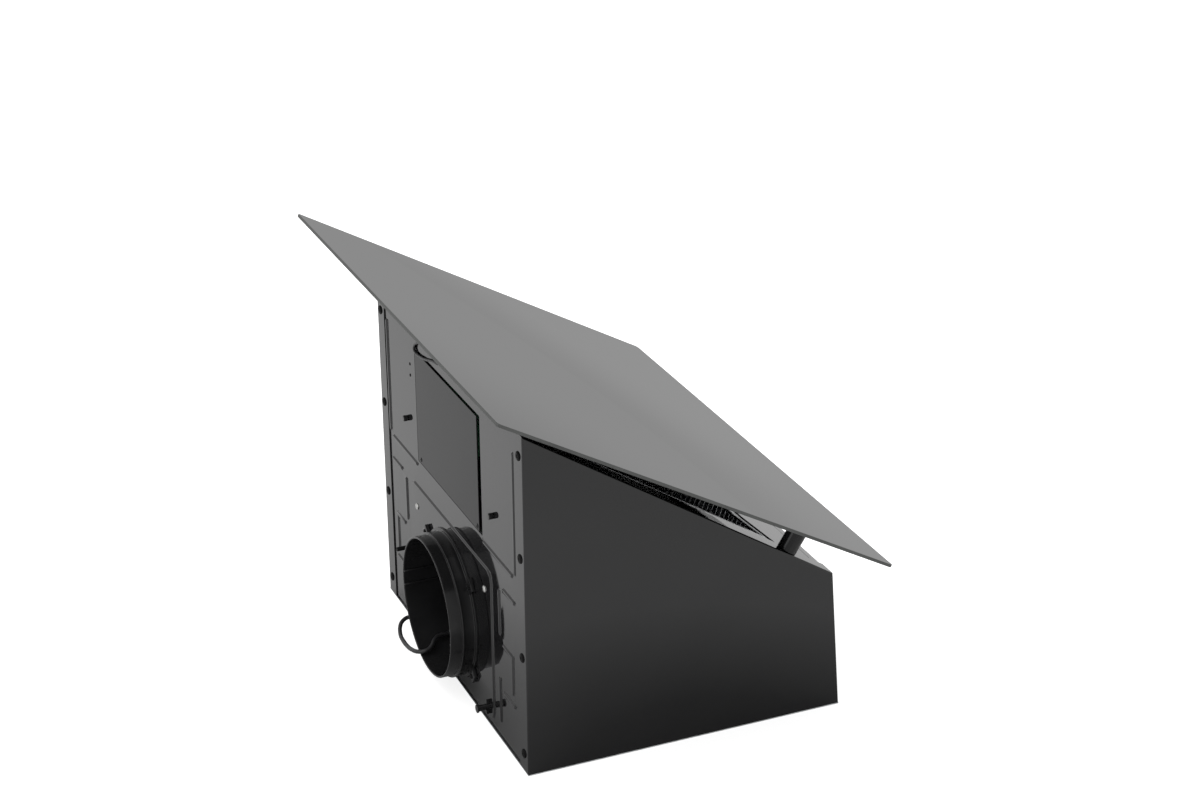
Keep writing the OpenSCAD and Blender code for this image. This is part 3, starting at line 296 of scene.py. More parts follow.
def add_piece(node, shape, *finishes, edge=0.0, wall=0.0, segments=2, crease=35, turned=False):
    """Makes a mesh the finished piece of a node, on that node's body.

    A sheet gets its wall, and the edges are rounded or stay crisp past the crease in degrees.
    Faces are turned outwards unless they are turned already.
    """
    if not turned:
        bmesh.ops.recalc_face_normals(shape, faces=shape.faces)
    if wall:
        shape.normal_update()
        bmesh.ops.solidify(shape, geom=shape.faces[:], thickness=wall)
    for face in shape.faces:
        face.smooth = True
    if not edge:
        for line in shape.edges:
            line.smooth = line.calc_face_angle(0) < math.radians(crease)
    piece = new_object(node, shape, finishes)
    if edge:
        soft = piece.modifiers.new("edges", "BEVEL")
        soft.width = edge
        soft.segments = segments
        soft.limit_method = "ANGLE"
        soft.angle_limit = math.radians(crease)
        soft.use_clamp_overlap = True
    if edge or wall:
        level = piece.modifiers.new("normals", "WEIGHTED_NORMAL")
        level.keep_sharp = True
    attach(piece, frame["nodes"][node]["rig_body"])
    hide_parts(node)


black_gloss = new_finish("gloss_black_paint", grain, dark=(0.006, 0.006, 0.0065),
                         light=(0.009, 0.009, 0.0095), rough=(0.025, 0.05),
                         fine=380, broad=9, depth=0.000003, ior=1.53)


def front_point(down, out):
    """Y and Z of a point on the sloping face, down from its top edge and out of its plane."""
    return (-body_d + down * math.sin(slope) - out * math.cos(slope),
            top_z - down * math.cos(slope) - out * math.sin(slope))


for hand, node in ((-1, "side_left"), (1, "side_right")):
    web = bmesh.new()
    corners = [(-sheet, top_z), (-sheet, low_z), front_point(slope_len, 0), (-body_d, top_z)]
    face = web.faces.new([web.verts.new((hand * body_w / 2, y, z)) for y, z in corners])
    rim = bmesh.ops.extrude_edge_only(web, edges=face.edges[:])["geom"]
    moved = [part for part in rim if isinstance(part, bmesh.types.BMVert)]
    bmesh.ops.translate(web, verts=moved, vec=(-hand * flange_w, 0, 0))
    bmesh.ops.recalc_face_normals(web, faces=web.faces)
    if face.normal.x * hand < 0:
        bmesh.ops.reverse_faces(web, faces=web.faces)
    bmesh.ops.bevel(web, geom=face.edges[:], offset=fold_r, segments=4, affect="EDGES",
                    profile=0.5, material=-1)
    add_piece(node, web, black_gloss, wall=sheet, turned=True)

# Back panel: a flat zinc coated sheet behind the blower, with the four holes that hang the hood.
# It is riveted between the flanges of the side panels.
spangle = effect_group("spangle", "cells")
zinc = new_finish("zinc_coated_sheet", spangle, dark=(0.48, 0.49, 0.5), light=(0.6, 0.61, 0.62),
                  rough=(0.3, 0.45), fine=140, broad=12, depth=0.00001, metal=1.0, tint_by="Fine")
merge_gap = 0.000002
flat_angle = math.radians(0.4)


def node_copy(node):
    """The mesh of a CAD node, with its doubled corners merged."""
    shape = bmesh.new()
    shape.from_mesh(frame["nodes"][node].data)
    bmesh.ops.remove_doubles(shape, verts=shape.verts, dist=merge_gap)
    return shape


def soften(finish, node, edge, segments=2):
    """Makes a copy of a CAD node with its edges rounded the finished piece."""
    shape = node_copy(node)
    bmesh.ops.dissolve_limit(shape, angle_limit=flat_angle, verts=shape.verts, edges=shape.edges)
    add_piece(node, shape, finish, edge=edge, segments=segments)


soften(zinc, "back_panel", edge=0.0003)

# Bottom panel: a gloss black sheet folded up at the wall and at the front, with two lamp holes
# cut by a punch.
soften(black_gloss, "bottom_panel", edge=0.0005)

# Lamps: a brushed steel ring clipped into each hole of the bottom panel, with a frosted lens
# over its light.
steel = new_finish("bright_steel", grain, dark=(0.55, 0.55, 0.56), light=(0.66, 0.66, 0.67),
                   rough=(0.16, 0.28), fine=900, broad=30, depth=0.000005, metal=1.0)
lens_glass = new_finish("frosted_lens", grain, dark=(0.8, 0.8, 0.78), light=(0.86, 0.86, 0.84),
                        rough=(0.4, 0.5), fine=1200, broad=20, depth=0.00002)
for side in ("left", "right"):
    soften(steel, "lamp_ring_" + side, edge=0.0006, segments=3)
    soften(lens_glass, "lamp_lens_" + side, edge=0.0006, segments=3)

# Front panel: the sloping sheet behind the glass, in the same gloss black. A channel is folded in
# round its opening to hold the filter.
soften(black_gloss, "front_panel", edge=0.0004)

# Blower casing: a spiral wall seamed between two plates of zinc coated sheet, on four spacer
# feet, with a spun bell mouth where the air goes in.
for node in ("scroll_shell", "scroll_back", "scroll_front", "casing_feet", "inlet_ring"):
    soften(zinc, node, edge=0.0002, segments=1)

# Motor: an aluminium can on a pressed plate that hangs in four rubber bushes, with a ground
# steel shaft through it.
aluminium = new_finish("rolled_aluminium", grain, dark=(0.62, 0.63, 0.64), light=(0.74, 0.75, 0.76),
                       rough=(0.3, 0.45), fine=1200, broad=25, depth=0.00001, metal=1.0)
rubber = new_finish("moulded_rubber", grain, dark=(0.012, 0.012, 0.012), light=(0.022, 0.022, 0.022),
                    rough=(0.5, 0.65), fine=1500, broad=30, depth=0.00003)
soften(zinc, "motor_plate", edge=0.0002, segments=1)
soften(rubber, "motor_bushes", edge=0.0005)
soften(aluminium, "motor_can", edge=0.0005)
soften(steel, "motor_shaft", edge=0.0003)

# Impeller: a ring of forward curved blades staked into a disc and a front ring, pressed on the
# shaft and held by a brass nut.
brass = new_finish("turned_brass", grain, dark=(0.62, 0.45, 0.2), light=(0.72, 0.54, 0.27),
                   rough=(0.2, 0.32), fine=1000, broad=40, depth=0.000005, metal=1.0)
soften(zinc, "impeller", edge=0)
soften(brass, "impeller_nut", edge=0.0003)

# Top panel: one gloss black sheet, pressed up in a flat pad round the collar and in short ribs,
# cut out for the electronics, and folded down at the wall and over the front edge.
plate_z = top_z - sheet
bend_r = 0.0018
lip = 0.014
pad_w = 0.238
pad_near = 0.008
pad_far = 0.178
pad_corner = 0.012
pad_h = 0.0015
recess_w = 0.190
recess_near = 0.207
recess_far = 0.335
recess_corner = 0.0015
collar_y = 0.087
collar_hole_r = 0.0739
gland_x = 0.104
gland_y = 0.020
gland_hole_r = 0.0046
rib_w = 0.006
# Ribs of one half: how far out from the middle and in from the wall
ribs = [
    [(0.1825, 0.208), (0.1825, 0.332)],
    [(0.099, 0.2015), (0.1735, 0.2015)],
    [(0.151, 0.174), (0.178, 0.174)],
    [(0.137, 0.167), (0.137, 0.121)],
    [(0.147, 0.111), (0.171, 0.111), (0.171, 0.071)],
    [(0.148, 0.058), (0.175, 0.058)],
    [(0.135, 0.068), (0.135, 0.021)]]
# Shoulders of the pad and of a rib: how far each step goes in and up
pad_steps = [(0.0005, 0.00012), (0.0006, 0.0004), (0.0006, 0.00046), (0.0006, 0.0004),
             (0.0005, 0.00012)]
rib_steps = [(0.0004, 0.00016), (0.0006, 0.00056), (0.0006, 0.00056), (0.0004, 0.00016)]


def rounded(corners, steps=6):
    """Points of an outline from its corners, each with the radius that rounds it off."""
    points = []
    for i, (x, y, r) in enumerate(corners):
        here = Vector((x, y))
        if not r:
            points.append(here)
            continue
        back = (Vector(corners[i - 1][:2]) - here).normalized()
        ahead = (Vector(corners[(i + 1) % len(corners)][:2]) - here).normalized()
        half = back.angle(ahead) / 2
        middle = here + (back + ahead).normalized() * r / math.sin(half)
        first = here + back * r / math.tan(half) - middle
        last = here + ahead * r / math.tan(half) - middle
        start = math.atan2(first.y, first.x)
        turn = (math.atan2(last.y, last.x) - start + math.pi) % math.tau - math.pi
        for k in range(steps + 1):
            a = start + turn * k / steps
            points.append(middle + r * Vector((math.cos(a), math.sin(a))))
    return points


def plate_points(width, near, far, corner, steps=6):
    """Outline of a plate or an opening across the hood's middle, with rounded corners."""
    half = width / 2
    return rounded([(half, -near, corner), (-half, -near, corner),
                    (-half, -far, corner), (half, -far, corner)], steps)


def disc_points(x, y, r, count):
    """Outline of a round hole, with its points evenly spaced."""
    turns = [math.tau * k / count for k in range(count)]
    return [(x + r * math.cos(a), y + r * math.sin(a)) for a in turns]


def strip(path, width, steps=6):
    """Outline of a strip along a path, with round ends."""
    points = []
    for way in (path, path[::-1]):
        for i in range(len(way) - 1):
            run = (way[i + 1] - way[i]).normalized()
            if i == 0:
                start = math.atan2(run.y, run.x) + math.pi / 2
                for k in range(steps + 1):
                    a = start + math.pi * k / steps
                    points.append(way[0] + width / 2 * Vector((math.cos(a), math.sin(a))))
            else:
                bent = (run + (way[i] - way[i - 1]).normalized()).normalized()
                out = Vector((bent.y, -bent.x))
                points.append(way[i] + out * width / 2 / out.dot(Vector((run.y, -run.x))))
    return points


def outline(shape, points, z):
    """Edges of a closed outline at one height."""
    corners = [shape.verts.new((x, y, z)) for x, y in points]
    return [shape.edges.new(pair) for pair in zip(corners, corners[1:] + corners[:1])]


def filled(shape, edges):
    """Faces that fill a flat outline and leave its inner outlines open."""
    made = bmesh.ops.triangle_fill(shape, use_beauty=True, edges=edges, normal=(0, 0, 1))
    return [part for part in made["geom"] if isinstance(part, bmesh.types.BMFace)]


def pressed(shape, faces, steps):
    """Presses a region of the sheet up, step by step."""
    shape.normal_update()
    for inward, up in steps:
        bmesh.ops.inset_region(shape, faces=faces, use_even_offset=True, thickness=inward, depth=up)


def fold(shape, line, middle, turn, length):
    """Folds the edge of a sheet about an axis along X and runs on into a straight lip."""
    bent = bmesh.ops.spin(shape, geom=[line, *line.verts], cent=(0, *middle), axis=(1, 0, 0),
                          angle=turn, steps=5)
    last = [part for part in bent["geom_last"] if isinstance(part, bmesh.types.BMEdge)]
    arm = last[0].verts[0].co.yz - Vector(middle)
    ahead = Vector((-arm.y, arm.x)).normalized() * math.copysign(length, turn)
    lip_end = bmesh.ops.extrude_edge_only(shape, edges=last)["geom"]
    moved = [part for part in lip_end if isinstance(part, bmesh.types.BMVert)]
    bmesh.ops.translate(shape, verts=moved, vec=(0, *ahead))


half_w = body_w / 2 - sheet
wall_bend = (-2 * sheet - bend_r, plate_z - bend_r)
bend_down = (sheet + bend_r) * (1 + math.sin(slope)) / math.cos(slope)
front_bend = (front_point(bend_down, -sheet - bend_r)[0], plate_z - bend_r)
top = bmesh.new()
sheet_ring = outline(top, [(half_w, wall_bend[0]), (-half_w, wall_bend[0]),
                           (-half_w, front_bend[0]), (half_w, front_bend[0])], plate_z)
pad_ring = outline(top, plate_points(pad_w, pad_near, pad_far, pad_corner), plate_z)
recess_ring = outline(top, plate_points(recess_w, recess_near, recess_far, recess_corner), plate_z)
collar_ring = outline(top, disc_points(0, -collar_y, collar_hole_r, 96), plate_z)
gland_ring = outline(top, disc_points(gland_x, -gland_y, gland_hole_r, 24), plate_z)
rib_rings = []
for hand in (-1, 1):
    for path in ribs:
        rib_rings.append(outline(top, strip([Vector((hand * x, -y)) for x, y in path], rib_w), plate_z))
filled(top, sheet_ring + pad_ring + recess_ring + [line for ring in rib_rings for line in ring])
pressed(top, filled(top, pad_ring + collar_ring + gland_ring), pad_steps)
for ring in rib_rings:
    pressed(top, filled(top, ring), rib_steps)
fold(top, sheet_ring[0], wall_bend, -math.pi / 2, lip - sheet - bend_r)
fold(top, sheet_ring[2], front_bend, math.pi / 2 + slope, lip - bend_down)
add_piece("top_panel", top, black_gloss, wall=sheet)

# Electronics: a zinc coated tray under the recess with a laminate board, its transformer and
# relays, and the motor's capacitor in a pale plastic can.
board = new_finish("laminate_board", grain, dark=(0.02, 0.12, 0.05), light=(0.03, 0.16, 0.07),
                   rough=(0.3, 0.4), fine=700, broad=30)
pale_plastic = new_finish("pale_plastic", grain, dark=(0.66, 0.66, 0.63), light=(0.74, 0.74, 0.71),
                          rough=(0.3, 0.4), fine=1100, broad=25, depth=0.00001)
soften(zinc, "electronics_box", edge=0.0003)
soften(board, "control_board", edge=0.0002, segments=1)
soften(pale_plastic, "run_capacitor", edge=0.0008, segments=3)

# Electronics cover: a satin black plate that lies level in the recess and is held by two screws,
# with a finger gap along two sides.
cover_satin = new_finish("satin_black_cover", grain, dark=(0.007, 0.007, 0.0075),
                         light=(0.01, 0.01, 0.0105), rough=(0.07, 0.11),
                         fine=700, broad=14, depth=0.000004, ior=1.21)
cover_lift = 0.0024
finger_gap = 0.0055
cover_from, cover_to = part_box("electronics_cover")
cover_from.x += finger_gap
middle = (cover_from + cover_to) / 2 + Vector((0, 0, cover_lift))
size = cover_to - cover_from
cover = bmesh.new()
bmesh.ops.create_cube(cover, size=1, matrix=Matrix.Translation(middle) @ Matrix.Diagonal((*size, 1)))
add_piece("electronics_cover", cover, cover_satin, edge=0.0003)

# Recess lead: a thin round lead in a black sheath. It comes up through the plate in front of the
# recess, bends round at the cover's corner and goes down again nearer the middle.
lead_skin = new_finish("lead_sheath", grain, dark=(0.014, 0.014, 0.015), light=(0.022, 0.022, 0.023),
                       rough=(0.32, 0.45), fine=1300, broad=40, depth=0.00001)


def lead_shape(route, radius, sides=20, steps=6):
    """A round lead laid smoothly through the points of its route."""
    points = [Vector(p) for p in route]
    ends = [2 * points[0] - points[1], *points, 2 * points[-1] - points[-2]]
    line = []
    for a, b, c, d in zip(ends, ends[1:], ends[2:], ends[3:]):
        for k in range(steps):
            t = k / steps
            line.append(0.5 * (2 * b + (c - a) * t + (2 * a - 5 * b + 4 * c - d) * t * t
                               + (3 * b - a - 3 * c + d) * t * t * t))
    line.append(points[-1])
    shape = bmesh.new()
    across = (line[1] - line[0]).orthogonal().normalized()
    turns = [math.tau * k / sides for k in range(sides)]
    rings = []
    for i, here in enumerate(line):
        along = (line[min(i + 1, len(line) - 1)] - line[max(i - 1, 0)]).normalized()
        across = (across - along * across.dot(along)).normalized()
        other = along.cross(across)
        rings.append([shape.verts.new(here + radius * (across * math.cos(a) + other * math.sin(a)))
                      for a in turns])
    for ring, after in zip(rings, rings[1:]):
        for k in range(sides):
            beside = (k + 1) % sides
            shape.faces.new((ring[k], ring[beside], after[beside], after[k]))
    shape.faces.new(rings[0][::-1])
    shape.faces.new(rings[-1])
    return shape


recess_route = [
    (0.07, -0.3486, 0.148), (0.073, -0.3476, 0.1496), (0.0785, -0.3456, 0.1502),
    (0.0845, -0.3426, 0.1502), (0.0892, -0.3388, 0.1502), (0.091, -0.3348, 0.1502),
    (0.0886, -0.3322, 0.1502), (0.0825, -0.3317, 0.1502), (0.075, -0.3324, 0.1502),
    (0.067, -0.3338, 0.1502), (0.058, -0.3354, 0.1502), (0.05, -0.3376, 0.1502),
    (0.042, -0.34, 0.1502), (0.034, -0.3423, 0.1502), (0.026, -0.344, 0.1502),
    (0.02, -0.345, 0.1498), (0.015, -0.3456, 0.148)]
recess_lead_r = 0.0013
add_piece("recess_lead", lead_shape(recess_route, recess_lead_r), lead_skin, crease=60)

# Duct collar: moulded in black plastic with a rounded rim, a bead where a duct stops, a base
# flange with four screw lugs, and guides inside for the axle of the flaps.
plastic = new_finish("moulded_black_plastic", grain, dark=(0.009, 0.009, 0.0094),
                     light=(0.015, 0.015, 0.0155), rough=(0.13, 0.21),
                     fine=1600, broad=20, depth=0.00001, ior=1.38)
collar_r = 0.0736
collar_in = 0.0714
collar_top = 0.178
collar_low = plate_z - 0.058
foot_r = 0.0726
taper_z = 0.1464
pad_z = plate_z + pad_h
base_r = 0.0785
base_t = 0.002
neck_r = 0.075
bead_r = 0.0758
bead_z = 0.16332
bead_h = 0.0022
seat_r = 0.0694
seat_z = 0.1047
seat_t = 0.0025
# Section of the collar, up its inside and down its outside: radius, height and rounding
collar_corners = [
    (collar_in, collar_low, 0.0002), (collar_in, seat_z - seat_t, 0.0002),
    (seat_r, seat_z - seat_t, 0.0003), (seat_r, seat_z, 0.0003), (collar_in, seat_z, 0.0004),
    (collar_in, collar_top, 0.001), (collar_r, collar_top, 0.001),
    (collar_r, bead_z + bead_h, 0.0005), (bead_r, bead_z + bead_h, 0.0009),
    (bead_r, bead_z, 0.0006), (neck_r, bead_z, 0.0003), (neck_r, pad_z + base_t, 0.0009),
    (base_r, pad_z + base_t, 0.0006), (base_r, pad_z, 0.0002), (collar_r, pad_z, 0),
    (collar_r, taper_z, 0), (foot_r, collar_low, 0.0002)]
# A pair of guides on each side, and the bosses that hold the axle between them
guide_out = 0.0704
guide_apart = 0.00785
guide_z = 0.1412
guide_size = (0.0028, 0.0024, 0.073)
guide_edge = 0.0008
boss_out = 0.0718
boss_r = 0.007
boss_h = 0.0026
boss_edge = 0.0003
flap_z = 0.106
lug_angles = (38, 142, 218, 322)
lug_out = 0.0812
lug_t = 0.004
lug_size = (0.0146, 0.014, lug_t)
lug_edge = 0.0006
# Two faces that meet at more than this angle, in radians, make a square edge
square_edge = 1
collar = bmesh.new()
profile = [collar.verts.new((r, -collar_y, z)) for r, z in rounded(collar_corners, steps=4)]
section = [collar.edges.new(pair) for pair in zip(profile, profile[1:] + profile[:1])]
bmesh.ops.spin(collar, geom=profile + section, cent=(0, -collar_y, 0), axis=(0, 0, 1),
               angle=math.tau, steps=144, use_merge=True)


def add_block(shape, place, size, edge):
    """A block with rounded edges, from its middle and size, turned by its place."""
    made = bmesh.ops.create_cube(shape, size=1, matrix=place @ Matrix.Diagonal((*size, 1)))["verts"]
    lines = list({line for v in made for line in v.link_edges})
    bmesh.ops.bevel(shape, geom=lines, offset=edge, segments=2, affect="EDGES", profile=0.5,
                    material=-1)


def add_disc(shape, place, r, h, edge, sides=32):
    """A short round post with a rounded top edge, standing on its place."""
    raised = place @ Matrix.Translation((0, 0, h / 2))
    made = bmesh.ops.create_cone(shape, cap_ends=True, segments=sides, radius1=r, radius2=r,
                                 depth=h, matrix=raised)["verts"]
    lines = list({line for v in made for line in v.link_edges
                  if len(line.link_faces) == 2 and line.calc_face_angle() > square_edge})
    bmesh.ops.bevel(shape, geom=lines, offset=edge, segments=2, affect="EDGES", profile=0.5,
                    material=-1)


def upright(x, y, z, turn=0.0):
    """A place on the hood, turned about its own upright."""
    return Matrix.Translation((x, y, z)) @ Matrix.Rotation(turn, 4, "Z")


for hand in (-1, 1):
    for way in (-1, 1):
        add_block(collar, upright(hand * guide_out, way * guide_apart - collar_y, guide_z),
                  guide_size, guide_edge)
    inward = Matrix.Rotation(-hand * math.pi / 2, 4, "Y")
    add_disc(collar, upright(hand * boss_out, -collar_y, flap_z) @ inward, boss_r, boss_h, boss_edge)
for angle in lug_angles:
    around = upright(0, -collar_y, 0, math.radians(angle))
    add_block(collar, around @ upright(lug_out, 0, pad_z + lug_t / 2), lug_size, lug_edge)
add_piece("duct_collar", collar, plastic, crease=30)

# Flaps: two half discs moulded in plastic that hang on one steel axle and stop the air from
# coming back down the duct.
soften(steel, "flap_axle", edge=0.0003)
for node in ("flap_wall", "flap_room"):
    soften(plastic, node, edge=0.0003)

# Collar lead: it leaves the top panel through a rubber gland, lies over the collar's rim and
# goes out again through a grommet in the collar's wall.
soften(rubber, "lead_gland", edge=0.0007, segments=3)
soften(rubber, "lead_grommet", edge=0.0004)
collar_route = [
    (0.104, -0.02, 0.154), (0.104, -0.02, 0.162), (0.103, -0.0195, 0.168),
    (0.099, -0.0175, 0.174), (0.092, -0.0145, 0.178), (0.082, -0.012, 0.1805),
    (0.071, -0.012, 0.1815), (0.06, -0.013, 0.182), (0.049, -0.015, 0.1823),
    (0.04, -0.0175, 0.1822), (0.032, -0.02, 0.1819), (0.0255, -0.022, 0.1798),
    (0.0215, -0.0235, 0.175), (0.022, -0.025, 0.169), (0.025, -0.027, 0.1645),
    (0.0295, -0.029, 0.161), (0.033, -0.0305, 0.1565), (0.0345, -0.031, 0.151),
    (0.035, -0.031, 0.1455), (0.0354, -0.0308, 0.1405), (0.0361, -0.0302, 0.1371),
    (0.0372, -0.029, 0.1349), (0.0385, -0.0277, 0.1341), (0.0394, -0.0264, 0.134),
    (0.0413, -0.0235, 0.134), (0.0428, -0.0213, 0.134)]
collar_lead_r = 0.00225
add_piece("collar_lead", lead_shape(collar_route, collar_lead_r), lead_skin, crease=60)

# Pegs: moulded in black plastic and pushed into holes of the top panel, one at the wall beside
# the collar and one on each side of the cover.
soften(plastic, "rear_pegs", edge=0.0005, segments=3)
soften(plastic, "cover_pegs", edge=0.0009, segments=3)

# Screws: steel heads with a cross recess. Wide black ones hold the top panel to the flanges, zinc
# plated ones the casing under the pad, and small black ones the cover, the lugs and, beside the
# recess, the tray. One more black peg stands beside the collar.
screw_zinc = new_finish("plated_screw", grain, dark=(0.5, 0.5, 0.49), light=(0.62, 0.62, 0.6),
                        rough=(0.2, 0.32), fine=1500, broad=60, depth=0.000003, metal=1.0)
blackened = new_finish("blackened_screw", grain, dark=(0.004, 0.004, 0.004),
                       light=(0.009, 0.009, 0.009), rough=(0.4, 0.55),
                       fine=1500, broad=60, depth=0.000004, ior=1.18)
edge_head_r = 0.0048
head_r = 0.0036
head_h = 0.0016
edge_row_x = 0.1995
edge_row_near = 0.020
edge_row_step = 0.106
edge_row_count = 4
row_turn = 0.7
pad_screw_x = 0.100
pad_screw_y = 0.1515
pad_screw_turn = 0.4
cover_head_r = 0.0026
cover_head_h = 0.0006
cover_screw_y = 0.2115
cover_screw_from = 0.005
cover_screw_to = 0.009
lug_head_r = 0.0028
lug_head_h = 0.0012
lug_screw_out = 0.0836
rivet_r = 0.0017
rivet_h = 0.0006
rivet_x = 0.1105
rivet_ys = (0.310, 0.2975)
peg_x = 0.148
peg_y = 0.080
peg_r = 0.0024
peg_h = 0.011
peg_edge = 0.0005
# Rings of a head's dome and the cross sunk in it, as shares of the head's radius and height
dome_shares = ((1, -0.1), (1, 0.25), (0.93, 0.55), (0.78, 0.82), (0.58, 1))
arm_share = 0.48
slit_share = 0.1
depth_share = 0.7
taper_share = 0.7


def add_screw(shape, place, r, h):
    """The head of a screw: a low dome with a cross sunk in it."""
    rings = []
    for wide, high in dome_shares:
        made = bmesh.ops.create_circle(shape, radius=r * wide, segments=24,
                                       matrix=place @ Matrix.Translation((0, 0, h * high)))["verts"]
        rings.append(list({line for v in made for line in v.link_edges}))
    for ring, after in zip(rings, rings[1:]):
        bmesh.ops.bridge_loops(shape, edges=ring + after)
    arm = arm_share * r
    slit = slit_share * r
    quarter = [Vector((slit, slit)), Vector((slit, arm)), Vector((-slit, arm))]
    cross = [Matrix.Rotation(math.pi / 2 * k, 2) @ p for k in range(4) for p in quarter]
    corners = [shape.verts.new(place @ Vector((p.x, p.y, h))) for p in cross]
    lines = [shape.edges.new(pair) for pair in zip(corners, corners[1:] + corners[:1])]
    bmesh.ops.triangle_fill(shape, use_beauty=True, edges=rings[-1] + lines)
    sunk = bmesh.ops.extrude_edge_only(shape, edges=lines)["geom"]
    low = [part for part in sunk if isinstance(part, bmesh.types.BMVert)]
    bmesh.ops.scale(shape, verts=low, vec=(taper_share, taper_share, 1), space=place.inverted())
    bmesh.ops.translate(shape, verts=low, vec=place.to_3x3() @ Vector((0, 0, -depth_share * h)))
    floor = [part for part in sunk if isinstance(part, bmesh.types.BMEdge)]
    bmesh.ops.triangle_fill(shape, use_beauty=True, edges=floor)


edge_heads = bmesh.new()
for hand in (-1, 1):
    for k in range(edge_row_count):
        y = -edge_row_near - k * edge_row_step
        place = upright(hand * edge_row_x, y, top_z, row_turn * k + hand)
        add_screw(edge_heads, place, edge_head_r, head_h)
add_piece("edge_screws", edge_heads, blackened)

panel_heads = bmesh.new()
for hand in (-1, 1):
    place = upright(hand * pad_screw_x, -pad_screw_y, pad_z, pad_screw_turn * hand)
    add_screw(panel_heads, place, head_r, head_h)
plated_faces = set(panel_heads.faces)
for x in (cover_from.x + cover_screw_from, cover_to.x - cover_screw_to):
    place = upright(x, -cover_screw_y, cover_to.z + cover_lift)
    add_screw(panel_heads, place, cover_head_r, cover_head_h)
cover_faces = set(panel_heads.faces) - plated_faces
add_disc(panel_heads, upright(peg_x, -peg_y, plate_z), peg_r, peg_h, peg_edge)
for angle in lug_angles:
    around = upright(0, -collar_y, pad_z + lug_t, math.radians(angle))
    add_screw(panel_heads, around @ upright(lug_screw_out, 0, 0), lug_head_r, lug_head_h)
for y in rivet_ys:
    add_screw(panel_heads, upright(rivet_x, -y, plate_z), rivet_r, rivet_h)
for face in panel_heads.faces:
    face.material_index = 1
for face in plated_faces:
    face.material_index = 0
for face in cover_faces:
    face.material_index = 2
add_piece("panel_screws", panel_heads, screw_zinc, blackened, cover_satin)

# Hinges: a black base screwed to the front panel, a leaf bonded to the inner face of the glass,
# and a steel pin through their knuckles.
hinge_paint = new_finish("hinge_paint", grain, dark=(0.011, 0.011, 0.011), light=(0.017, 0.017, 0.017),
                         rough=(0.3, 0.42), fine=900, broad=30, depth=0.00002)
for side in ("left", "right"):
    soften(hinge_paint, "hinge_base_" + side, edge=0.0005)
    soften(steel, "hinge_pin_" + side, edge=0.0004)
    soften(hinge_paint, "hinge_leaf_" + side, edge=0.0005)

# Rest posts: turned plastic posts on the front panel with a magnet in each end. The magnets hold
# the glass by two steel plates bonded to it.
for side in ("left", "right"):
    soften(plastic, "rest_post_" + side, edge=0.0009, segments=3)
soften(steel, "rest_magnets", edge=0.0003)
soften(zinc, "strike_plates", edge=0.0003)

# Glass: a toughened sheet with its inner face enamelled black, so it reads as a black mirror.
# Its edges are ground flat, the arrises taken off, and a slight slant ground behind the edge.
black_glass = new_finish("enamelled_glass", grain, dark=(0.003, 0.003, 0.0032),
                         light=(0.005, 0.005, 0.0052), rough=(0.012, 0.024), fine=60, broad=5)
nodes = black_glass.node_tree.nodes
links = black_glass.node_tree.links
base = nodes["Principled BSDF"]
base.inputs["Specular IOR Level"].default_value = 0
mirror = nodes.new("ShaderNodeBsdfAnisotropic")
mirror.inputs["Color"].default_value = (1, 1, 1, 1)
mirror.inputs["Roughness"].default_value = 0.016
slant = nodes.new("ShaderNodeLayerWeight")
slant.inputs["Blend"].default_value = 0.5
share = nodes.new("ShaderNodeMapRange")
share.interpolation_type = "SMOOTHSTEP"
share.inputs["From Min"].default_value = 0.25
share.inputs["From Max"].default_value = 0.72
share.inputs["To Min"].default_value = 0.04
share.inputs["To Max"].default_value = 0.365
links.new(slant.outputs["Facing"], share.inputs["Value"])
coat = nodes.new("ShaderNodeMixShader")
links.new(share.outputs[0], coat.inputs["Fac"])
links.new(base.outputs[0], coat.inputs[1])
links.new(mirror.outputs[0], coat.inputs[2])
links.new(coat.outputs[0], nodes["Material Output"].inputs["Surface"])
enamel = new_finish("black_enamel", grain, dark=(0.002, 0.002, 0.002), light=(0.004, 0.004, 0.004),
                    rough=(0.55, 0.7), fine=1400, broad=12, depth=0.000004, ior=1.2)
ground_edge = new_finish("ground_glass_edge", grain, dark=(0.06, 0.062, 0.06),
                         light=(0.085, 0.088, 0.085), rough=(0.35, 0.5),
                         fine=1800, broad=30, depth=0.00001)
glass_w = 0.600
glass_len = 0.456
glass_t = 0.005
glass_corner = 0.004
arris = 0.0005
edge_t = 0.0031
slant_w = 0.018
glass_lean = slope - math.radians(3.5)
glass_past = 0.080
glass_stand = 0.02135
flat_face = 0.99
pane = bmesh.new()
rings = []
for within, z in ((0, 0), (0, -edge_t), (slant_w, -glass_t)):
    points = plate_points(glass_w - 2 * within, within, glass_len - within, glass_corner, steps=8)
    rings.append(outline(pane, points, z))
for ring, after in zip(rings, rings[1:]):
    bmesh.ops.bridge_loops(pane, edges=ring + after)
for ring in (rings[0], rings[2]):
    pane.faces.new([line.verts[0] for line in ring])
bmesh.ops.recalc_face_normals(pane, faces=pane.faces)
pane.normal_update()
arrises = [line for line in pane.edges if line.calc_face_angle(0) > square_edge]
bmesh.ops.bevel(pane, geom=arrises, offset=arris, segments=2, affect="EDGES", profile=0.5,
                material=-1)
pane.normal_update()
for face in pane.faces:
    if face.normal.z > flat_face:
        face.material_index = 0
    elif face.normal.z < -flat_face:
        face.material_index = 2
    else:
        face.material_index = 1
hang = Matrix.Translation((0, *front_point(-glass_past, glass_stand)))
lean = Matrix.Rotation(math.pi / 2 + glass_lean, 4, "X")
bmesh.ops.transform(pane, verts=pane.verts, matrix=hang @ lean)
add_piece("glass_panel", pane, black_glass, ground_edge, enamel)

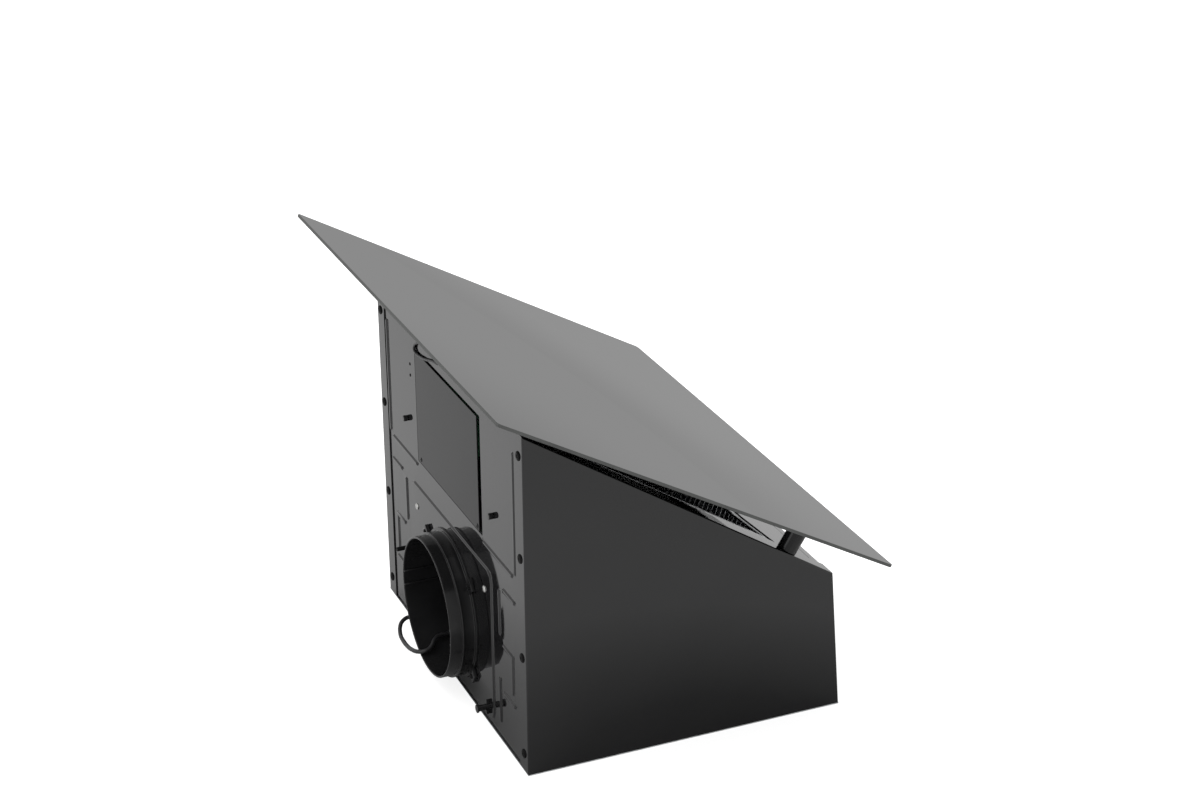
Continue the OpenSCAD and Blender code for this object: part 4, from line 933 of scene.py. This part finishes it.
# Touch keys: a flat case moulded in black plastic and bonded behind the lower edge of the glass,
# with the key board in it.
soften(plastic, "touch_board", edge=0.0008, segments=3)

# Filter cassette: a folded aluminium channel round two layers of expanded aluminium, slit and
# drawn out of the flat sheet.
soften(aluminium, "filter_frame", edge=0.0004)
filter_half = 0.178
filter_top = 0.060
filter_low = 0.317
filter_dip = 0.014
corner_share = 0.72
filter_out = -0.0114
cell_w = 0.0084
cell_h = 0.0056
strand = 0.0012
strand_across = 1.5 * strand
strand_t = 0.0005
twist = 0.0007
inner_share = 0.3
mesh_margin = 0.0075
join_gap = 0.00002
front_layer = 0.0065
back_layer = 0.0025
columns = int(filter_half / cell_w) + 2
rows = int((filter_low + filter_dip - filter_top) / cell_h * 2) + 2


def diamond(half_across, half_down, out):
    """Corners of a diamond: its side corners stand out of the net, the other two lie back."""
    return [(half_across, 0, out), (0, half_down, -out), (-half_across, 0, out), (0, -half_down, -out)]


outer = diamond(cell_w / 2, cell_h / 2, twist)
inner = diamond(cell_w / 2 - strand_across, cell_h / 2 - strand, twist * inner_share)
for node, layer in (("filter_mesh_front", front_layer), ("filter_mesh_back", back_layer)):
    net = bmesh.new()
    for j in range(-2, rows):
        for i in range(-columns, columns + 1):
            x = (i + (j % 2) / 2) * cell_w
            down = filter_top + j * cell_h / 2
            past = max(0, abs(x) - corner_share * filter_half) / (1 - corner_share) / filter_half
            if (abs(x) > filter_half - mesh_margin or down < filter_top + mesh_margin
                    or down > filter_low + past * filter_dip - mesh_margin):
                continue
            rings = []
            for loop in (outer, inner):
                rings.append([])
                for dx, dy, out in loop:
                    y, z = front_point(down - dy, filter_out + layer + out)
                    rings[-1].append(net.verts.new((x + dx, y, z)))
            for k in range(4):
                after = (k + 1) % 4
                net.faces.new((rings[0][k], rings[0][after], rings[1][after], rings[1][k]))
    bmesh.ops.remove_doubles(net, verts=net.verts, dist=join_gap)
    add_piece(node, net, aluminium, wall=strand_t, crease=40)

# Filter handle and latch: moulded in black plastic. The latch slides in a channel under the handle
# and its nose holds the cassette in the front panel.
soften(plastic, "filter_handle", edge=0.0005)
soften(plastic, "filter_latch", edge=0.0003)

# Latch spring: wound steel wire between the handle's channel and the latch, copied as it stands
# and shaded smooth.
coil = node_copy("latch_spring")
bmesh.ops.recalc_face_normals(coil, faces=coil.faces)
for face in coil.faces:
    face.smooth = True
spring = new_object("latch_spring", coil, [steel])
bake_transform(spring)
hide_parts("latch_spring")
